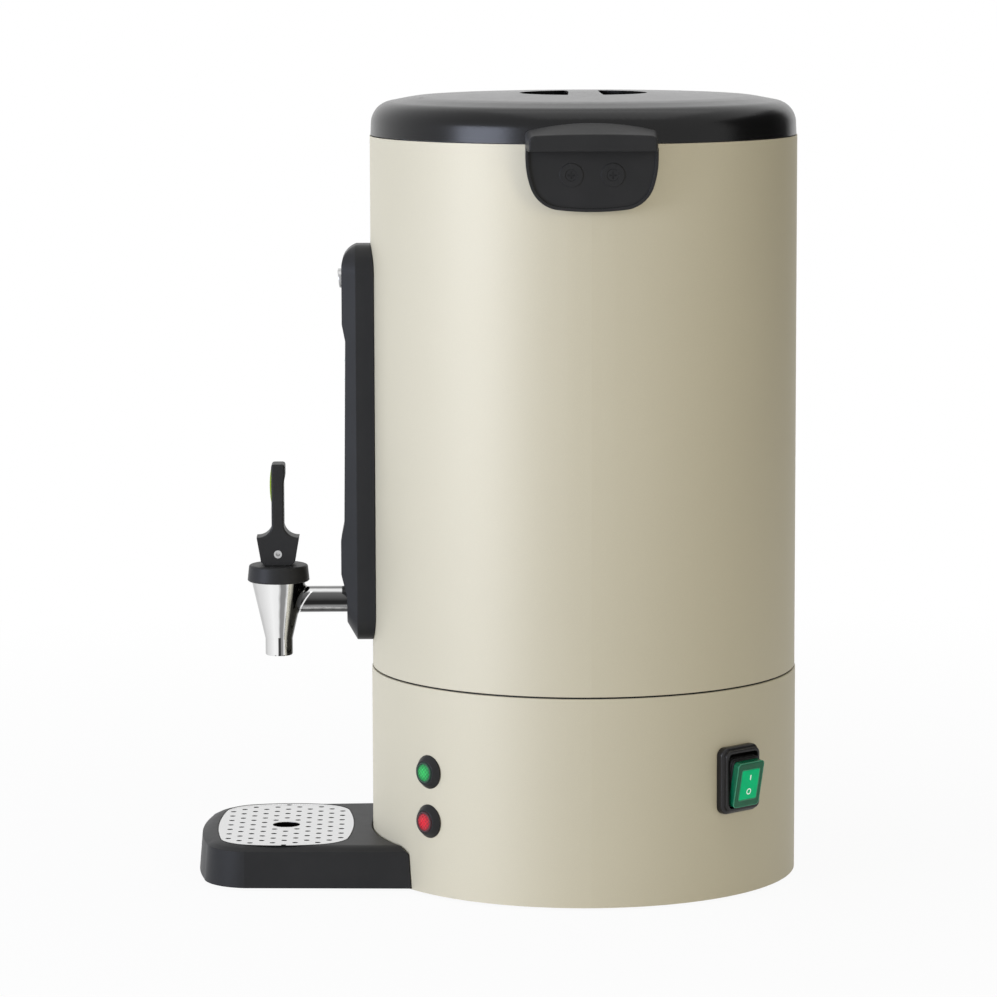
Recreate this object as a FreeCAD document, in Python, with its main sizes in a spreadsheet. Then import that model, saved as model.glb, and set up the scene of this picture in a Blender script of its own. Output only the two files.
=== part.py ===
import FreeCAD, Part
import math
import os
import Sketcher

# A percolating coffee urn. Millimetres, +Z up, the tap towards -Y, the side handles towards
# +X and -X, and the origin on the drum's axis at the surface that the urn stands on.

VECTOR = FreeCAD.Vector

# The driving sizes: name, number, and what it measures. Levels are heights above the floor.

DRIVING = (
    ("body_radius", 132.5, "outer radius of the upper shell"),
    ("shell_wall", 0.8, "sheet of the upper shell"),
    ("base_step", 0.5, "how much further out the base shell stands"),
    ("base_wall", 1.2, "sheet of the base shell"),
    ("foot_proud", 1.5, "how far the feet stand below the base shell"),
    ("base_top", 129.3, "level of the base shell's top"),
    ("seam_gap", 1.0, "dark seam between the base shell and the upper shell"),
    ("shell_top", 461.5, "level of the upper shell's rim"),
    ("flange_width", 20.0, "flanges on both sides of the seam"),
    ("foot_height", 6.0, "foot under the base plate"),
    ("foot_radius", 11.0, "foot"),
    ("foot_inset", 22.5, "middle of a foot, inside the shell's radius"),
    ("foot_stem", 2.9, "radius of a foot's stem"),
    ("plate_sheet", 1.5, "base plate"),
    ("lip_width", 9.0, "lip that the base plate is pulled against"),
    ("rod_inset", 40.5, "middle of a tie rod, inside the shell's radius"),
    ("rod_radius", 2.5, "tie rod"),
    ("nut_height", 3.8, "tie rod nut"),
    ("nut_flats", 8.0, "tie rod nut across its flats"),
    ("vessel_inset", 10.5, "outside of the inner vessel, inside the shell's radius"),
    ("vessel_wall", 0.8, "sheet of the inner vessel"),
    ("vessel_floor", 150.0, "level of the vessel's underside"),
    ("vessel_bend", 7.0, "outer bend between the vessel's floor and wall"),
    ("well_radius", 24.0, "bore of the pump well"),
    ("well_depth", 9.0, "depth of the pump well"),
    ("collar_height", 2.0, "rim collar"),
    ("collar_width", 15.5, "rim collar, from the shell's radius to its bore"),
    ("notch_half", 17.0, "half the width of a bayonet notch"),
    ("notch_depth", 3.8, "depth of a bayonet notch"),
    ("heater_thick", 4.0, "heater plate"),
    ("heater_radius", 72.0, "heater plate"),
    ("element_tube", 3.4, "radius of a heating element's tube"),
    ("boil_ring", 42.0, "ring radius of the boiling element"),
    ("warm_ring", 60.0, "ring radius of the keep-warm element"),
    ("sensor_inset", 40.5, "middle of a thermostat, inside the shell's radius"),
    ("sensor_radius", 8.0, "thermostat"),
    ("sensor_height", 11.0, "thermostat"),
    ("block_width", 44.0, "terminal block"),
    ("block_depth", 18.0, "terminal block"),
    ("block_height", 20.0, "terminal block"),
    ("block_inset", 22.0, "terminal block's middle, inside the ring of tie rods"),
    ("cord_height", 30.0, "level of the cord entry"),
    ("cord_bore", 4.2, "radius of the cord entry's bore"),
    ("grommet_radius", 8.0, "radius of the grommet in the shell"),
    ("grommet_flange", 2.8, "how far the grommet's flanges stand over the hole"),
    ("cord_angle", 125.0, "cord entry, in degrees round the drum from +X"),
    ("lamp_angle", -47.5, "lamps, in degrees round the drum from +X"),
    ("green_lamp_height", 77.5, "level of the green lamp"),
    ("red_lamp_height", 46.9, "level of the red lamp"),
    ("bezel_radius", 10.4, "lamp bezel at the shell"),
    ("bezel_front", 8.0, "lamp bezel at its front"),
    ("bezel_proud", 3.8, "lamp bezel, out of the shell"),
    ("lens_radius", 6.4, "lamp lens"),
    ("lamp_barrel", 6.0, "radius of the lamp's barrel behind the shell"),
    ("switch_angle", 42.2, "switch, in degrees round the drum from +X"),
    ("switch_height", 74.1, "level of the switch's middle"),
    ("frame_width", 32.0, "switch frame"),
    ("frame_height", 41.0, "switch frame"),
    ("frame_proud", 4.1, "switch frame, out of the shell"),
    ("step_proud", 2.2, "inner step of the switch frame"),
    ("boot_width", 22.3, "switch boot"),
    ("boot_height", 28.3, "switch boot"),
    ("boot_wall", 1.2, "switch boot"),
    ("boot_depth", 4.4, "coloured part of the boot, from front to back"),
    ("skirt_width", 24.0, "ribs of the boot's skirt"),
    ("skirt_height", 30.4, "ribs of the boot's skirt"),
    ("skirt_back", 1.5, "skirt's back, out of the rocker's pin"),
    ("skirt_gap", 0.45, "round the skirt at its sides"),
    ("skirt_swing", 1.6, "over and under the skirt, for the rocker's swing"),
    ("rocker_arm", 12.6, "from the rocker's pin to the boot's front"),
    ("rocker_tilt", 10.5, "rocker off its middle, in degrees"),
    ("rocker_pin", 2.0, "radius of the rocker's pin"),
    ("handle_half", 39.25, "half the width of a side handle"),
    ("ledge_half", 37.7, "half the width of the handle ledge's front edge"),
    ("handle_reach", 21.5, "side handle, out of the shell"),
    ("ledge_bottom", 458.5, "level of the handle ledge's lower edge"),
    ("ledge_edge", 468.4, "level of the handle ledge's front edge"),
    ("crest_corner", 470.1, "level of the handle's crest at its ends"),
    ("crest_top", 474.4, "level of the handle's crest in the middle"),
    ("ledge_wall", 3.0, "walls round the finger recess"),
    ("shield_bottom", 422.2, "level of the handle plate's lowest point"),
    ("shield_out", 7.0, "handle plate, out of the shell"),
    ("shield_rim", 1.8, "raised rim round the handle plate"),
    ("handle_screw_level", 443.9, "level of the handle screws"),
    ("handle_screw_half", 12.3, "half the distance between two handle screws"),
    ("screw_radius", 1.95, "handle and housing screws"),
    ("screw_head", 3.5, "radius of their heads"),
    ("fascia_half", 25.0, "half the width of the gauge housing"),
    ("fascia_face_half", 17.0, "half the width of the housing's front face"),
    ("fascia_top", 394.3, "level of the housing's top"),
    ("fascia_bottom", 146.7, "level of the housing's bottom"),
    ("fascia_corner", 18.0, "corner radius of the housing, seen from the front"),
    ("fascia_side_out", 9.3, "side walls of the housing, out of the shell"),
    ("fascia_out", 19.3, "front face of the housing, out of the shell"),
    ("chest_back", 1.4, "housing's face at the plaque, behind its fullest part"),
    ("waist_back", 3.5, "housing's face above the gauge, behind its fullest part"),
    ("hip_back", 2.2, "housing's face under the gauge, behind its fullest part"),
    ("foot_back", 3.6, "housing's face round the tap, behind its fullest part"),
    ("brow_round", 14.1, "rounded top of the housing, seen from the side"),
    ("chin_height", 17.0, "sloping underside of the housing"),
    ("fascia_wall", 2.6, "walls of the housing"),
    ("slot_half", 6.0, "half the width of the gauge slot"),
    ("slot_bottom", 222.0, "level of the gauge slot's lower end"),
    ("slot_top", 326.0, "level of the gauge slot's upper end"),
    ("badge_level", 373.0, "level of the oval plaque"),
    ("badge_half_width", 12.0, "half the width of the oval plaque"),
    ("badge_half_height", 5.5, "half the height of the oval plaque"),
    ("badge_proud", 2.5, "plaque's upper edge, out of the housing's face"),
    ("badge_lean", 1.2, "plaque's lower edge behind its upper edge"),
    ("glass_radius", 5.0, "sight glass"),
    ("glass_bore", 3.6, "bore of the sight glass"),
    ("glass_out", 6.9, "axis of the sight glass, out of the shell"),
    ("glass_top", 372.0, "level of the sight glass's top"),
    ("tap_reach", 58.9, "tap's axis, out of the shell"),
    ("nozzle_bottom", 136.2, "level of the tap's mouth"),
    ("nozzle_radius", 8.6, "tap's mouth, outside"),
    ("nozzle_bore", 7.0, "tap's mouth, inside"),
    ("nozzle_length", 10.3, "straight part of the mouth"),
    ("cone_top", 183.0, "level of the tap cone's top"),
    ("cone_radius", 16.9, "tap cone's top"),
    ("seat_level", 158.0, "level of the valve seat"),
    ("seat_bore", 6.0, "bore of the valve seat"),
    ("shank_level", 171.15, "level of the tap's shank"),
    ("shank_radius", 8.26, "tap's shank"),
    ("shank_fillet", 2.0, "round between the shank and the cone"),
    ("shank_bore", 5.6, "bore of the tap's shank"),
    ("bonnet_top", 193.3, "level of the bonnet's top"),
    ("bonnet_radius", 19.4, "bonnet at its widest"),
    ("stem_radius", 3.0, "valve stem"),
    ("pin_height", 7.5, "lever pin over the bonnet's top"),
    ("pin_radius", 2.5, "lever pin"),
    ("lever_half_foot", 13.3, "half the lever's foot, from front to back"),
    ("lever_foot_round", 4.5, "rounded lower edges of the lever's foot"),
    ("lever_top", 257.3, "level of the lever's top"),
    ("lever_thick", 7.7, "lever's paddle, from front to back"),
    ("lever_width", 18.0, "lever, from side to side"),
    ("insert_bottom", 233.0, "level of the coloured insert's lower end"),
    ("insert_top", 254.5, "level of the coloured insert's upper end"),
    ("lid_gap", 0.6, "between the shell's rim and the lid's rim"),
    ("lid_inset", 0.5, "lid's rim inside the shell's radius"),
    ("lid_rise", 27.0, "lid's top over the shell's rim"),
    ("lid_wall", 3.0, "lid cover"),
    ("grip_radius", 39.5, "finger recess in the lid"),
    ("grip_bar", 9.5, "half the width of the bar over the recess"),
    ("grip_floor", 472.0, "level of the recess's floor"),
    ("seal_height", 3.0, "lid seal"),
    ("liner_gap", 0.8, "between the lid liner's skirt and the rim collar's bore"),
    ("liner_depth", 11.0, "lid liner's skirt, below the seal"),
    ("lug_half", 14.5, "half the width of a bayonet lug"),
    ("lug_gap", 0.6, "radial gap round a bayonet lug"),
    ("lid_screw_inset", 48.5, "middle of a lid screw, inside the shell's radius"),
    ("riser_radius", 5.0, "riser tube"),
    ("riser_bore", 3.9, "bore of the riser tube"),
    ("riser_top", 440.0, "level of the riser tube's top"),
    ("foot_dome", 21.0, "radius of the pump foot"),
    ("basket_radius", 88.0, "coffee basket"),
    ("basket_bottom", 322.0, "level of the basket's underside"),
    ("basket_height", 86.0, "coffee basket"),
    ("basket_wall", 0.8, "sheet of the basket"),
    ("tray_side", 10.8, "drip tray's foot at the drum, outside the grate"),
    ("tray_border", 11.95, "front of the drip tray, before the grate"),
    ("tray_top", 27.3, "level of the tray's top"),
    ("tray_corner", 31.0, "corner radius of the tray"),
    ("tray_bow", 4.5, "bow of the tray's front"),
    ("tray_foot", 2.0, "gap under the tray, which stands on small pads"),
    ("tray_crease", 24.3, "level of the edge between the tray's walls and its shoulder"),
    ("tray_lean", 1.9, "how far the tray's walls lean inwards"),
    ("tray_shoulder", 6.0, "width of the tray's sloping shoulder"),
    ("tray_floor", 2.5, "thickness of the tray's floor"),
    ("grate_half", 66.2, "half the grate, across the drum"),
    ("grate_half_depth", 42.65, "half the grate, from front to back"),
    ("grate_gap", 12.25, "grate, out of the base shell"),
    ("grate_corner", 24.2, "corner radius of the grate"),
    ("grate_sheet", 1.8, "grate"),
    ("drain_radius", 8.65, "hole in the middle of the grate"),
    ("hole_radius", 1.85, "small holes of the grate"),
    ("hole_pitch", 14.0, "small holes along a row"),
    ("row_pitch", 7.0, "rows of small holes"),
    ("seat_clearance", 0.2, "between a moulded piece and the shell that carries it"),
    ("moving_clearance", 0.4, "between pieces that move past each other"),
    ("hole_clearance", 0.2, "round a fixed piece in its hole"),
)


class Size:
    """A number, with the sheet formula that it comes from."""

    def __init__(self, number, formula):
        self.number = float(number)
        self.formula = formula

    def __float__(self):
        return self.number

    def __add__(self, other):
        return joined(self, "+", other, self.number + float(other))

    def __radd__(self, other):
        return joined(other, "+", self, float(other) + self.number)

    def __sub__(self, other):
        return joined(self, "-", other, self.number - float(other))

    def __rsub__(self, other):
        return joined(other, "-", self, float(other) - self.number)

    def __mul__(self, other):
        return joined(self, "*", other, self.number * float(other))

    def __rmul__(self, other):
        return joined(other, "*", self, float(other) * self.number)

    def __truediv__(self, other):
        return joined(self, "/", other, self.number / float(other))

    def __neg__(self):
        return joined(0.0, "-", self, -self.number)


def formula_of(value):
    if isinstance(value, Size):
        return value.formula
    if float(value) < 0:
        return f"(0 - {-float(value)})"
    return f"{float(value)}"


def joined(left, sign, right, number):
    return Size(number, f"({formula_of(left)} {sign} {formula_of(right)})")


def root(value):
    return Size(math.sqrt(float(value)), f"sqrt({formula_of(value)})")


def cosine(angle):
    return Size(math.cos(math.radians(float(angle))), f"cos({formula_of(angle)} * 1 deg)")


def sine(angle):
    return Size(math.sin(math.radians(float(angle))), f"sin({formula_of(angle)} * 1 deg)")


def on_circle(radius, aside):
    """How far out a circle lies at a distance aside from its middle."""
    return root(radius * radius - aside * aside)


# The document and its sheet of sizes.

doc = FreeCAD.newDocument("coffee_urn")
sheet = doc.addObject("Spreadsheet::Sheet", "Sizes")


class Sheet:
    """The driving sizes by name."""


s = Sheet()
for row, (alias, number, meaning) in enumerate(DRIVING, start=1):
    sheet.set(f"A{row}", meaning)
    sheet.set(f"B{row}", str(number))
    sheet.setAlias(f"B{row}", alias)
    setattr(s, alias, Size(number, f"Sizes.{alias}"))
doc.recompute()

parts = []

# Placing and binding.

PLANES = {"plan": "XY_Plane", "side": "XZ_Plane", "front": "YZ_Plane"}


def placement_formula(x, y, z, turn, axis):
    place = "; ".join(formula_of(value) for value in (x, y, z))
    spin = "; ".join(str(value) for value in axis)
    return f"placement(vector({place}); rotation(vector({spin}); {formula_of(turn)}))"


def bind(thing, name, value):
    thing.setExpression(name, formula_of(value))


def place(thing, x=0.0, y=0.0, z=0.0, turn=0.0, axis=(0, 0, 1)):
    thing.setExpression("Placement", placement_formula(x, y, z, turn, axis))


def new_body(label):
    body = doc.addObject("PartDesign::Body", label)
    body.Label = label
    body.AllowCompound = True
    parts.append(body)
    return body


def sketch(body, name, view, x=0.0, y=0.0, z=0.0, azimuth=0.0):
    """A sketch through a point: plan shows x and y, side shows x and z, front shows y and z.

    Side and front views turn round the drum's axis by the azimuth.
    """
    drawn = body.newObject("Sketcher::SketchObject", f"{body.Name}_{name}")
    plane = next(f for f in body.Origin.OriginFeatures if f.Role == PLANES[view])
    drawn.AttachmentSupport = [(plane, "")]
    drawn.MapMode = "FlatFace"
    local = {"plan": (x, y, z), "side": (x, z, -1.0 * y), "front": (y, z, x)}[view]
    formula = placement_formula(*local, azimuth, (0, 1, 0))
    drawn.setExpression("AttachmentOffset", formula)
    return drawn


class Drawing:
    """Geometry and constraints that go into a sketch in one step."""

    def __init__(self, drawn):
        self.drawn = drawn
        self.shapes = []
        self.rules = []
        self.bound = []

    def fix(self, index, point, x, y):
        for kind, axis, value in (("DistanceX", -2, x), ("DistanceY", -1, y)):
            if float(value) == 0.0:
                self.rules.append(Sketcher.Constraint("PointOnObject", index, point, axis))
            else:
                self.rules.append(Sketcher.Constraint(kind, index, point, float(value)))
                self.bound.append((len(self.rules) - 1, value))

    def size(self, index, radius):
        self.rules.append(Sketcher.Constraint("Radius", index, float(radius)))
        self.bound.append((len(self.rules) - 1, radius))

    def circle(self, x, y, radius):
        middle = VECTOR(float(x), float(y), 0)
        self.shapes.append(Part.Circle(middle, VECTOR(0, 0, 1), float(radius)))
        self.fix(len(self.shapes) - 1, 3, x, y)
        self.size(len(self.shapes) - 1, radius)
        return self

    def outline(self, corners, arcs=None):
        """Sides through the corners, closed.

        arcs gives the radius of a curved side by the number of its first corner: above zero
        with the middle on its left, below zero with the middle on its right.
        """
        arcs = arcs or {}
        first = len(self.shapes)
        count = len(corners)
        starts = []
        ends = []
        for number, (x, y) in enumerate(corners):
            begin = VECTOR(float(x), float(y), 0)
            x_next, y_next = corners[(number + 1) % count]
            finish = VECTOR(float(x_next), float(y_next), 0)
            index = first + number
            if number in arcs:
                radius = abs(float(arcs[number]))
                turn = 1 if float(arcs[number]) > 0 else -1
                self.shapes.append(arc_between(begin, finish, radius, turn))
                starts.append((index, 1 if turn > 0 else 2))
                ends.append((index, 2 if turn > 0 else 1))
            else:
                self.shapes.append(Part.LineSegment(begin, finish))
                starts.append((index, 1))
                ends.append((index, 2))
        for number, (x, y) in enumerate(corners):
            self.rules.append(Sketcher.Constraint("Coincident", *ends[number - 1], *starts[number]))
            self.fix(*starts[number], x, y)
        for number, radius in arcs.items():
            self.size(first + number, radius if float(radius) > 0 else -1.0 * radius)
        return self

    def rounded_box(self, x_low, x_high, y_low, y_high, radius):
        corners = (
            (x_low + radius, y_low),
            (x_high - radius, y_low),
            (x_high, y_low + radius),
            (x_high, y_high - radius),
            (x_high - radius, y_high),
            (x_low + radius, y_high),
            (x_low, y_high - radius),
            (x_low, y_low + radius),
        )
        return self.outline(corners, {side: radius for side in (1, 3, 5, 7)})

    def hexagon(self, x, y, flats, turn=0.0):
        reach = flats / math.sqrt(3.0)
        points = []
        for number in range(6):
            angle = turn + 60.0 * number
            points.append((x + reach * cosine(angle), y + reach * sine(angle)))
        return self.outline(points)

    def done(self):
        self.drawn.addGeometry(self.shapes)
        self.drawn.addConstraint(self.rules)
        for index, value in self.bound:
            bind(self.drawn, f"Constraints[{index}]", value)
        return self.drawn


def arc_between(begin, finish, radius, turn):
    chord = finish - begin
    half = chord.Length / 2
    left = VECTOR(-chord.y, chord.x, 0).normalize()
    middle = (begin + finish) * 0.5 + left * (turn * math.sqrt(radius * radius - half * half))
    a, b = (begin, finish) if turn > 0 else (finish, begin)
    circle = Part.Circle(middle, VECTOR(0, 0, 1), radius)
    return Part.ArcOfCircle(circle, circle.parameter(a), circle.parameter(b))


def draw(body, name, view, **where):
    return Drawing(sketch(body, name, view, **where))


# Features.

def feature(body, kind, name, drawn=None, **sizes):
    made = body.newObject(f"PartDesign::{kind}", f"{body.Name}_{name}")
    if drawn is not None:
        made.Profile = drawn
        drawn.Visibility = False
    for size_name, value in sizes.items():
        bind(made, size_name, value)
    return made


def revolve(body, name, drawn, axis="V_Axis"):
    made = feature(body, "Revolution", name, drawn)
    made.ReferenceAxis = (drawn, [axis])
    made.Angle = 360.0
    return made


def groove(body, name, drawn, axis="V_Axis"):
    made = feature(body, "Groove", name, drawn)
    made.ReferenceAxis = (drawn, [axis])
    made.Angle = 360.0
    return made


def pad(body, name, drawn, length, both_sides=False, backwards=False):
    made = feature(body, "Pad", name, drawn, Length=length)
    made.SideType = "Symmetric" if both_sides else "One side"
    made.Reversed = backwards
    return made


def cut(body, name, drawn, length, both_sides=False, backwards=False):
    """Takes material away on the side that the sketch faces, or behind it."""
    made = feature(body, "Pocket", name, drawn, Length=length)
    made.SideType = "Symmetric" if both_sides else "One side"
    made.Reversed = not backwards
    return made


def loft(body, name, first, second):
    made = feature(body, "AdditiveLoft", name, first)
    made.Sections = [second]
    made.Ruled = True
    second.Visibility = False
    return made


def edges_where(base, test):
    doc.recompute()
    return [f"Edge{n}" for n, edge in enumerate(base.Shape.Edges, start=1) if test(edge)]


def rounded(body, name, base, radius, test):
    made = body.newObject("PartDesign::Fillet", f"{body.Name}_{name}")
    made.Base = (base, edges_where(base, test))
    bind(made, "Radius", radius)
    return made


def bevelled(body, name, base, size, test):
    made = body.newObject("PartDesign::Chamfer", f"{body.Name}_{name}")
    made.Base = (base, edges_where(base, test))
    bind(made, "Size", size)
    return made


def is_ring(radius, level):
    """An edge that is a whole circle round the piece's upright axis."""

    def test(edge):
        curve = edge.Curve
        if not isinstance(curve, Part.Circle):
            return False
        return (
            abs(curve.Radius - float(radius)) < 0.01
            and abs(curve.Center.z - float(level)) < 0.01
            and abs(curve.Center.x) + abs(curve.Center.y) < 0.01
        )

    return test


def at_level(level, outside=0.0):
    """An edge that lies wholly at a level, at least so far from the upright axis."""

    def test(edge):
        box = edge.BoundBox
        middle = edge.CenterOfMass
        flat = abs(box.ZMin - float(level)) < 0.01 and abs(box.ZMax - float(level)) < 0.01
        return flat and math.hypot(middle.x, middle.y) >= outside

    return test


def at_out(distance):
    """An edge that lies wholly in the plane at a distance along X."""

    def test(edge):
        box = edge.BoundBox
        return abs(box.XMin - float(distance)) < 0.01 and abs(box.XMax - float(distance)) < 0.01

    return test


def fit_to_drum(body, name, radius, low, high):
    """Cuts a piece back to the drum that it sits on."""
    drawn = draw(body, name, "plan", z=low).circle(0.0, 0.0, radius).done()
    return cut(body, name, drawn, high - low)



# Primitive pieces.

def solid(kind, name, x=0.0, y=0.0, z=0.0, turn=0.0, axis=(0, 0, 1), **sizes):
    made = doc.addObject(f"Part::{kind}", name)
    for size_name, value in sizes.items():
        bind(made, size_name, value)
    place(made, x, y, z, turn, axis)
    return made


def fused(name, shapes):
    made = doc.addObject("Part::MultiFuse", name)
    made.Shapes = shapes
    return made


def less(name, base, tool):
    made = doc.addObject("Part::Cut", name)
    made.Base = base
    made.Tool = tool
    return made


def group(label, shapes):
    made = doc.addObject("Part::Compound", label)
    made.Links = shapes
    made.Label = label
    parts.append(made)
    return made


# Levels and radii that several pieces share.

base_radius = s.body_radius + s.base_step
base_inner = base_radius - s.base_wall
shell_bottom = s.base_top + s.seam_gap
shell_inner = s.body_radius - s.shell_wall
flange_bore = shell_inner - s.flange_width
plate_top = s.foot_height + s.plate_sheet
lip_bore = base_inner - s.lip_width
foot_ring = s.body_radius - s.foot_inset
rod_ring = s.body_radius - s.rod_inset
sensor_ring = s.body_radius - s.sensor_inset
block_out = rod_ring - s.block_inset
collar_bore = s.body_radius - s.collar_width
liner_radius = collar_bore - s.liner_gap
lid_screw_ring = s.body_radius - s.lid_screw_inset
vessel_radius = s.body_radius - s.vessel_inset
tap_out = s.body_radius + s.tap_reach
grate_out = base_radius + s.grate_gap + s.grate_half_depth
tray_front = grate_out + s.grate_half_depth + s.tray_border
tray_half = s.grate_half + s.tray_side
collar_bottom = s.shell_top - s.collar_height
rim_flange = collar_bottom - s.vessel_wall
vessel_inner = vessel_radius - s.vessel_wall
vessel_inside = s.vessel_floor + s.vessel_wall
well_inside = vessel_inside - s.well_depth
seat_radius = s.body_radius + s.seat_clearance
lid_radius = s.body_radius - s.lid_inset
lid_bottom = s.shell_top + s.lid_gap
lid_top = s.shell_top + s.lid_rise
pin_level = s.bonnet_top + s.pin_height
fascia_face = s.body_radius + s.fascia_out
fascia_chest = fascia_face - s.chest_back
fascia_tap = fascia_face - s.foot_back
badge_floor = fascia_chest - 1.0
seal_outside = s.shank_radius + 1.0
switch_pivot = base_radius + s.frame_proud + s.step_proud - 7.8
housing_front = switch_pivot - 2.5
switch_opening_width = s.skirt_width + 2.0 * s.skirt_gap
switch_opening_height = s.skirt_height + 2.0 * s.skirt_swing
sleeve_width = switch_opening_width + 2.4
sleeve_height = switch_opening_height + 2.4
rocker_width = s.boot_width - 5.9
rocker_height = s.boot_height - 7.8
boot_back = s.rocker_arm - s.boot_depth


# The drum.

def base_shell():
    body = new_body("base_shell")
    ring = draw(body, "ring", "side").outline((
        (base_radius, s.foot_proud),
        (base_radius, s.base_top),
        (flange_bore, s.base_top),
        (flange_bore, s.base_top - s.base_wall),
        (base_inner, s.base_top - s.base_wall),
        (base_inner, plate_top + s.base_wall),
        (lip_bore, plate_top + s.base_wall),
        (lip_bore, plate_top),
        (base_inner, plate_top),
        (base_inner, s.foot_proud),
    )).done()
    shell = revolve(body, "shell", ring)
    rounded(body, "top_edge", shell, s.base_wall / 2.0, is_ring(base_radius, s.base_top))
    opening = draw(body, "switch_hole", "front", z=s.switch_height, azimuth=s.switch_angle)
    half_box(
        opening, sleeve_width + 2.0 * s.hole_clearance, sleeve_height + 2.0 * s.hole_clearance, 3.0,
    )
    cut(body, "switch_cut", opening.done(), base_radius + 1.0)
    for colour, level in (("green", s.green_lamp_height), ("red", s.red_lamp_height)):
        hole = draw(body, f"{colour}_hole", "front", z=level, azimuth=s.lamp_angle)
        hole.circle(0.0, 0.0, s.lamp_barrel + s.hole_clearance)
        cut(body, f"{colour}_cut", hole.done(), base_radius + 1.0)
    cord = draw(body, "cord_hole", "front", z=s.cord_height, azimuth=s.cord_angle)
    cord.circle(0.0, 0.0, s.grommet_radius + s.hole_clearance)
    cut(body, "cord_cut", cord.done(), base_radius + 1.0)


ROD_AZIMUTHS = (100.0, 220.0, 340.0)
FOOT_AZIMUTHS = {"front_right": -45.0, "rear_right": 45.0, "rear_left": 135.0, "front_left": 225.0}


def base_plate():
    body = new_body("base_plate")
    disc = draw(body, "disc", "plan", z=s.foot_height)
    disc.circle(0.0, 0.0, base_inner - s.hole_clearance)
    for azimuth in ROD_AZIMUTHS:
        middle = (rod_ring * cosine(azimuth), rod_ring * sine(azimuth))
        disc.circle(*middle, s.rod_radius + s.hole_clearance)
    for azimuth in FOOT_AZIMUTHS.values():
        middle = (foot_ring * cosine(azimuth), foot_ring * sine(azimuth))
        disc.circle(*middle, s.foot_stem + s.hole_clearance)
    pad(body, "sheet", disc.done(), s.plate_sheet)


def foot(name, azimuth):
    body = new_body(f"foot_{name}")
    head = s.foot_stem + 1.7
    profile = draw(body, "profile", "side").outline((
        (0.0, 0.0),
        (s.foot_radius - 2.0, 0.0),
        (s.foot_radius, 2.0),
        (s.foot_radius, s.foot_height),
        (s.foot_stem, s.foot_height),
        (s.foot_stem, plate_top),
        (head, plate_top),
        (s.foot_stem, plate_top + 2.4),
        (0.0, plate_top + 2.4),
    )).done()
    revolve(body, "rubber", profile)
    place(body, foot_ring * cosine(azimuth), foot_ring * sine(azimuth))


def tie_rods():
    body = new_body("tie_rods")
    low = s.foot_height - s.nut_height - 0.5
    drawn = draw(body, "rods", "plan", z=low)
    for azimuth in ROD_AZIMUTHS:
        drawn.circle(rod_ring * cosine(azimuth), rod_ring * sine(azimuth), s.rod_radius)
    pad(body, "rods_pad", drawn.done(), s.vessel_floor - low)


def tie_nuts():
    body = new_body("tie_nuts")
    drawn = draw(body, "nuts", "plan", z=s.foot_height - s.nut_height)
    for azimuth in ROD_AZIMUTHS:
        middle = (rod_ring * cosine(azimuth), rod_ring * sine(azimuth))
        drawn.hexagon(*middle, s.nut_flats, azimuth)
        drawn.circle(*middle, s.rod_radius + 0.05)
    pad(body, "nuts_pad", drawn.done(), s.nut_height)


def seam_gasket():
    body = new_body("seam_gasket")
    drawn = draw(body, "ring", "plan", z=s.base_top)
    drawn.circle(0.0, 0.0, s.body_radius - 1.0)
    drawn.circle(0.0, 0.0, flange_bore + 2.0)
    pad(body, "gasket", drawn.done(), s.seam_gap)


def outer_shell():
    body = new_body("outer_shell")
    ledge = shell_inner - 3.7
    ring = draw(body, "ring", "side").outline((
        (s.body_radius, shell_bottom),
        (s.body_radius, s.shell_top),
        (shell_inner, s.shell_top),
        (shell_inner, rim_flange),
        (ledge, rim_flange),
        (ledge, rim_flange - s.shell_wall),
        (shell_inner, rim_flange - s.shell_wall),
        (shell_inner, shell_bottom + s.shell_wall),
        (flange_bore, shell_bottom + s.shell_wall),
        (flange_bore, shell_bottom),
    )).done()
    shell = revolve(body, "shell", ring)
    rounded(body, "lower_edge", shell, s.shell_wall / 2.0, is_ring(s.body_radius, shell_bottom))
    for side, azimuth in (("right", 0.0), ("left", 180.0)):
        drawn = draw(body, f"{side}_holes", "front", z=s.handle_screw_level, azimuth=azimuth)
        for aside in (s.handle_screw_half, -1.0 * s.handle_screw_half):
            drawn.circle(aside, 0.0, s.screw_radius + s.hole_clearance)
        cut(body, f"{side}_cut", drawn.done(), s.body_radius + 1.0)
    front = draw(body, "front_holes", "front", azimuth=-90.0)
    front.circle(0.0, s.shank_level, s.shank_radius + s.hole_clearance)
    for aside in (fascia_screw_half, -1.0 * fascia_screw_half):
        front.circle(aside, fascia_screw_level, s.screw_radius + s.hole_clearance)
    cut(body, "front_cut", front.done(), s.body_radius + 1.0)


def inner_vessel():
    body = new_body("inner_vessel")
    flange = shell_inner - s.hole_clearance
    well_outer = s.well_radius + s.vessel_wall
    profile = draw(body, "profile", "side").outline((
        (0.0, well_inside - s.vessel_wall),
        (well_outer, well_inside - s.vessel_wall),
        (well_outer, s.vessel_floor),
        (vessel_radius, s.vessel_floor),
        (vessel_radius, rim_flange),
        (flange, rim_flange),
        (flange, collar_bottom),
        (vessel_inner, collar_bottom),
        (vessel_inner, vessel_inside),
        (s.well_radius, vessel_inside),
        (s.well_radius, well_inside),
        (0.0, well_inside),
    )).done()
    wall = revolve(body, "wall", profile)
    outside = rounded(body, "outer_bend", wall, s.vessel_bend, is_ring(vessel_radius, s.vessel_floor))
    inside_bend = s.vessel_bend - s.vessel_wall
    rounded(body, "inner_bend", outside, inside_bend, is_ring(vessel_inner, vessel_inside))
    hole = draw(body, "tap_hole", "front", z=s.shank_level, azimuth=-90.0)
    hole.circle(0.0, 0.0, s.shank_radius + s.hole_clearance)
    cut(body, "tap_cut", hole.done(), vessel_radius + 1.0)


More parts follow.
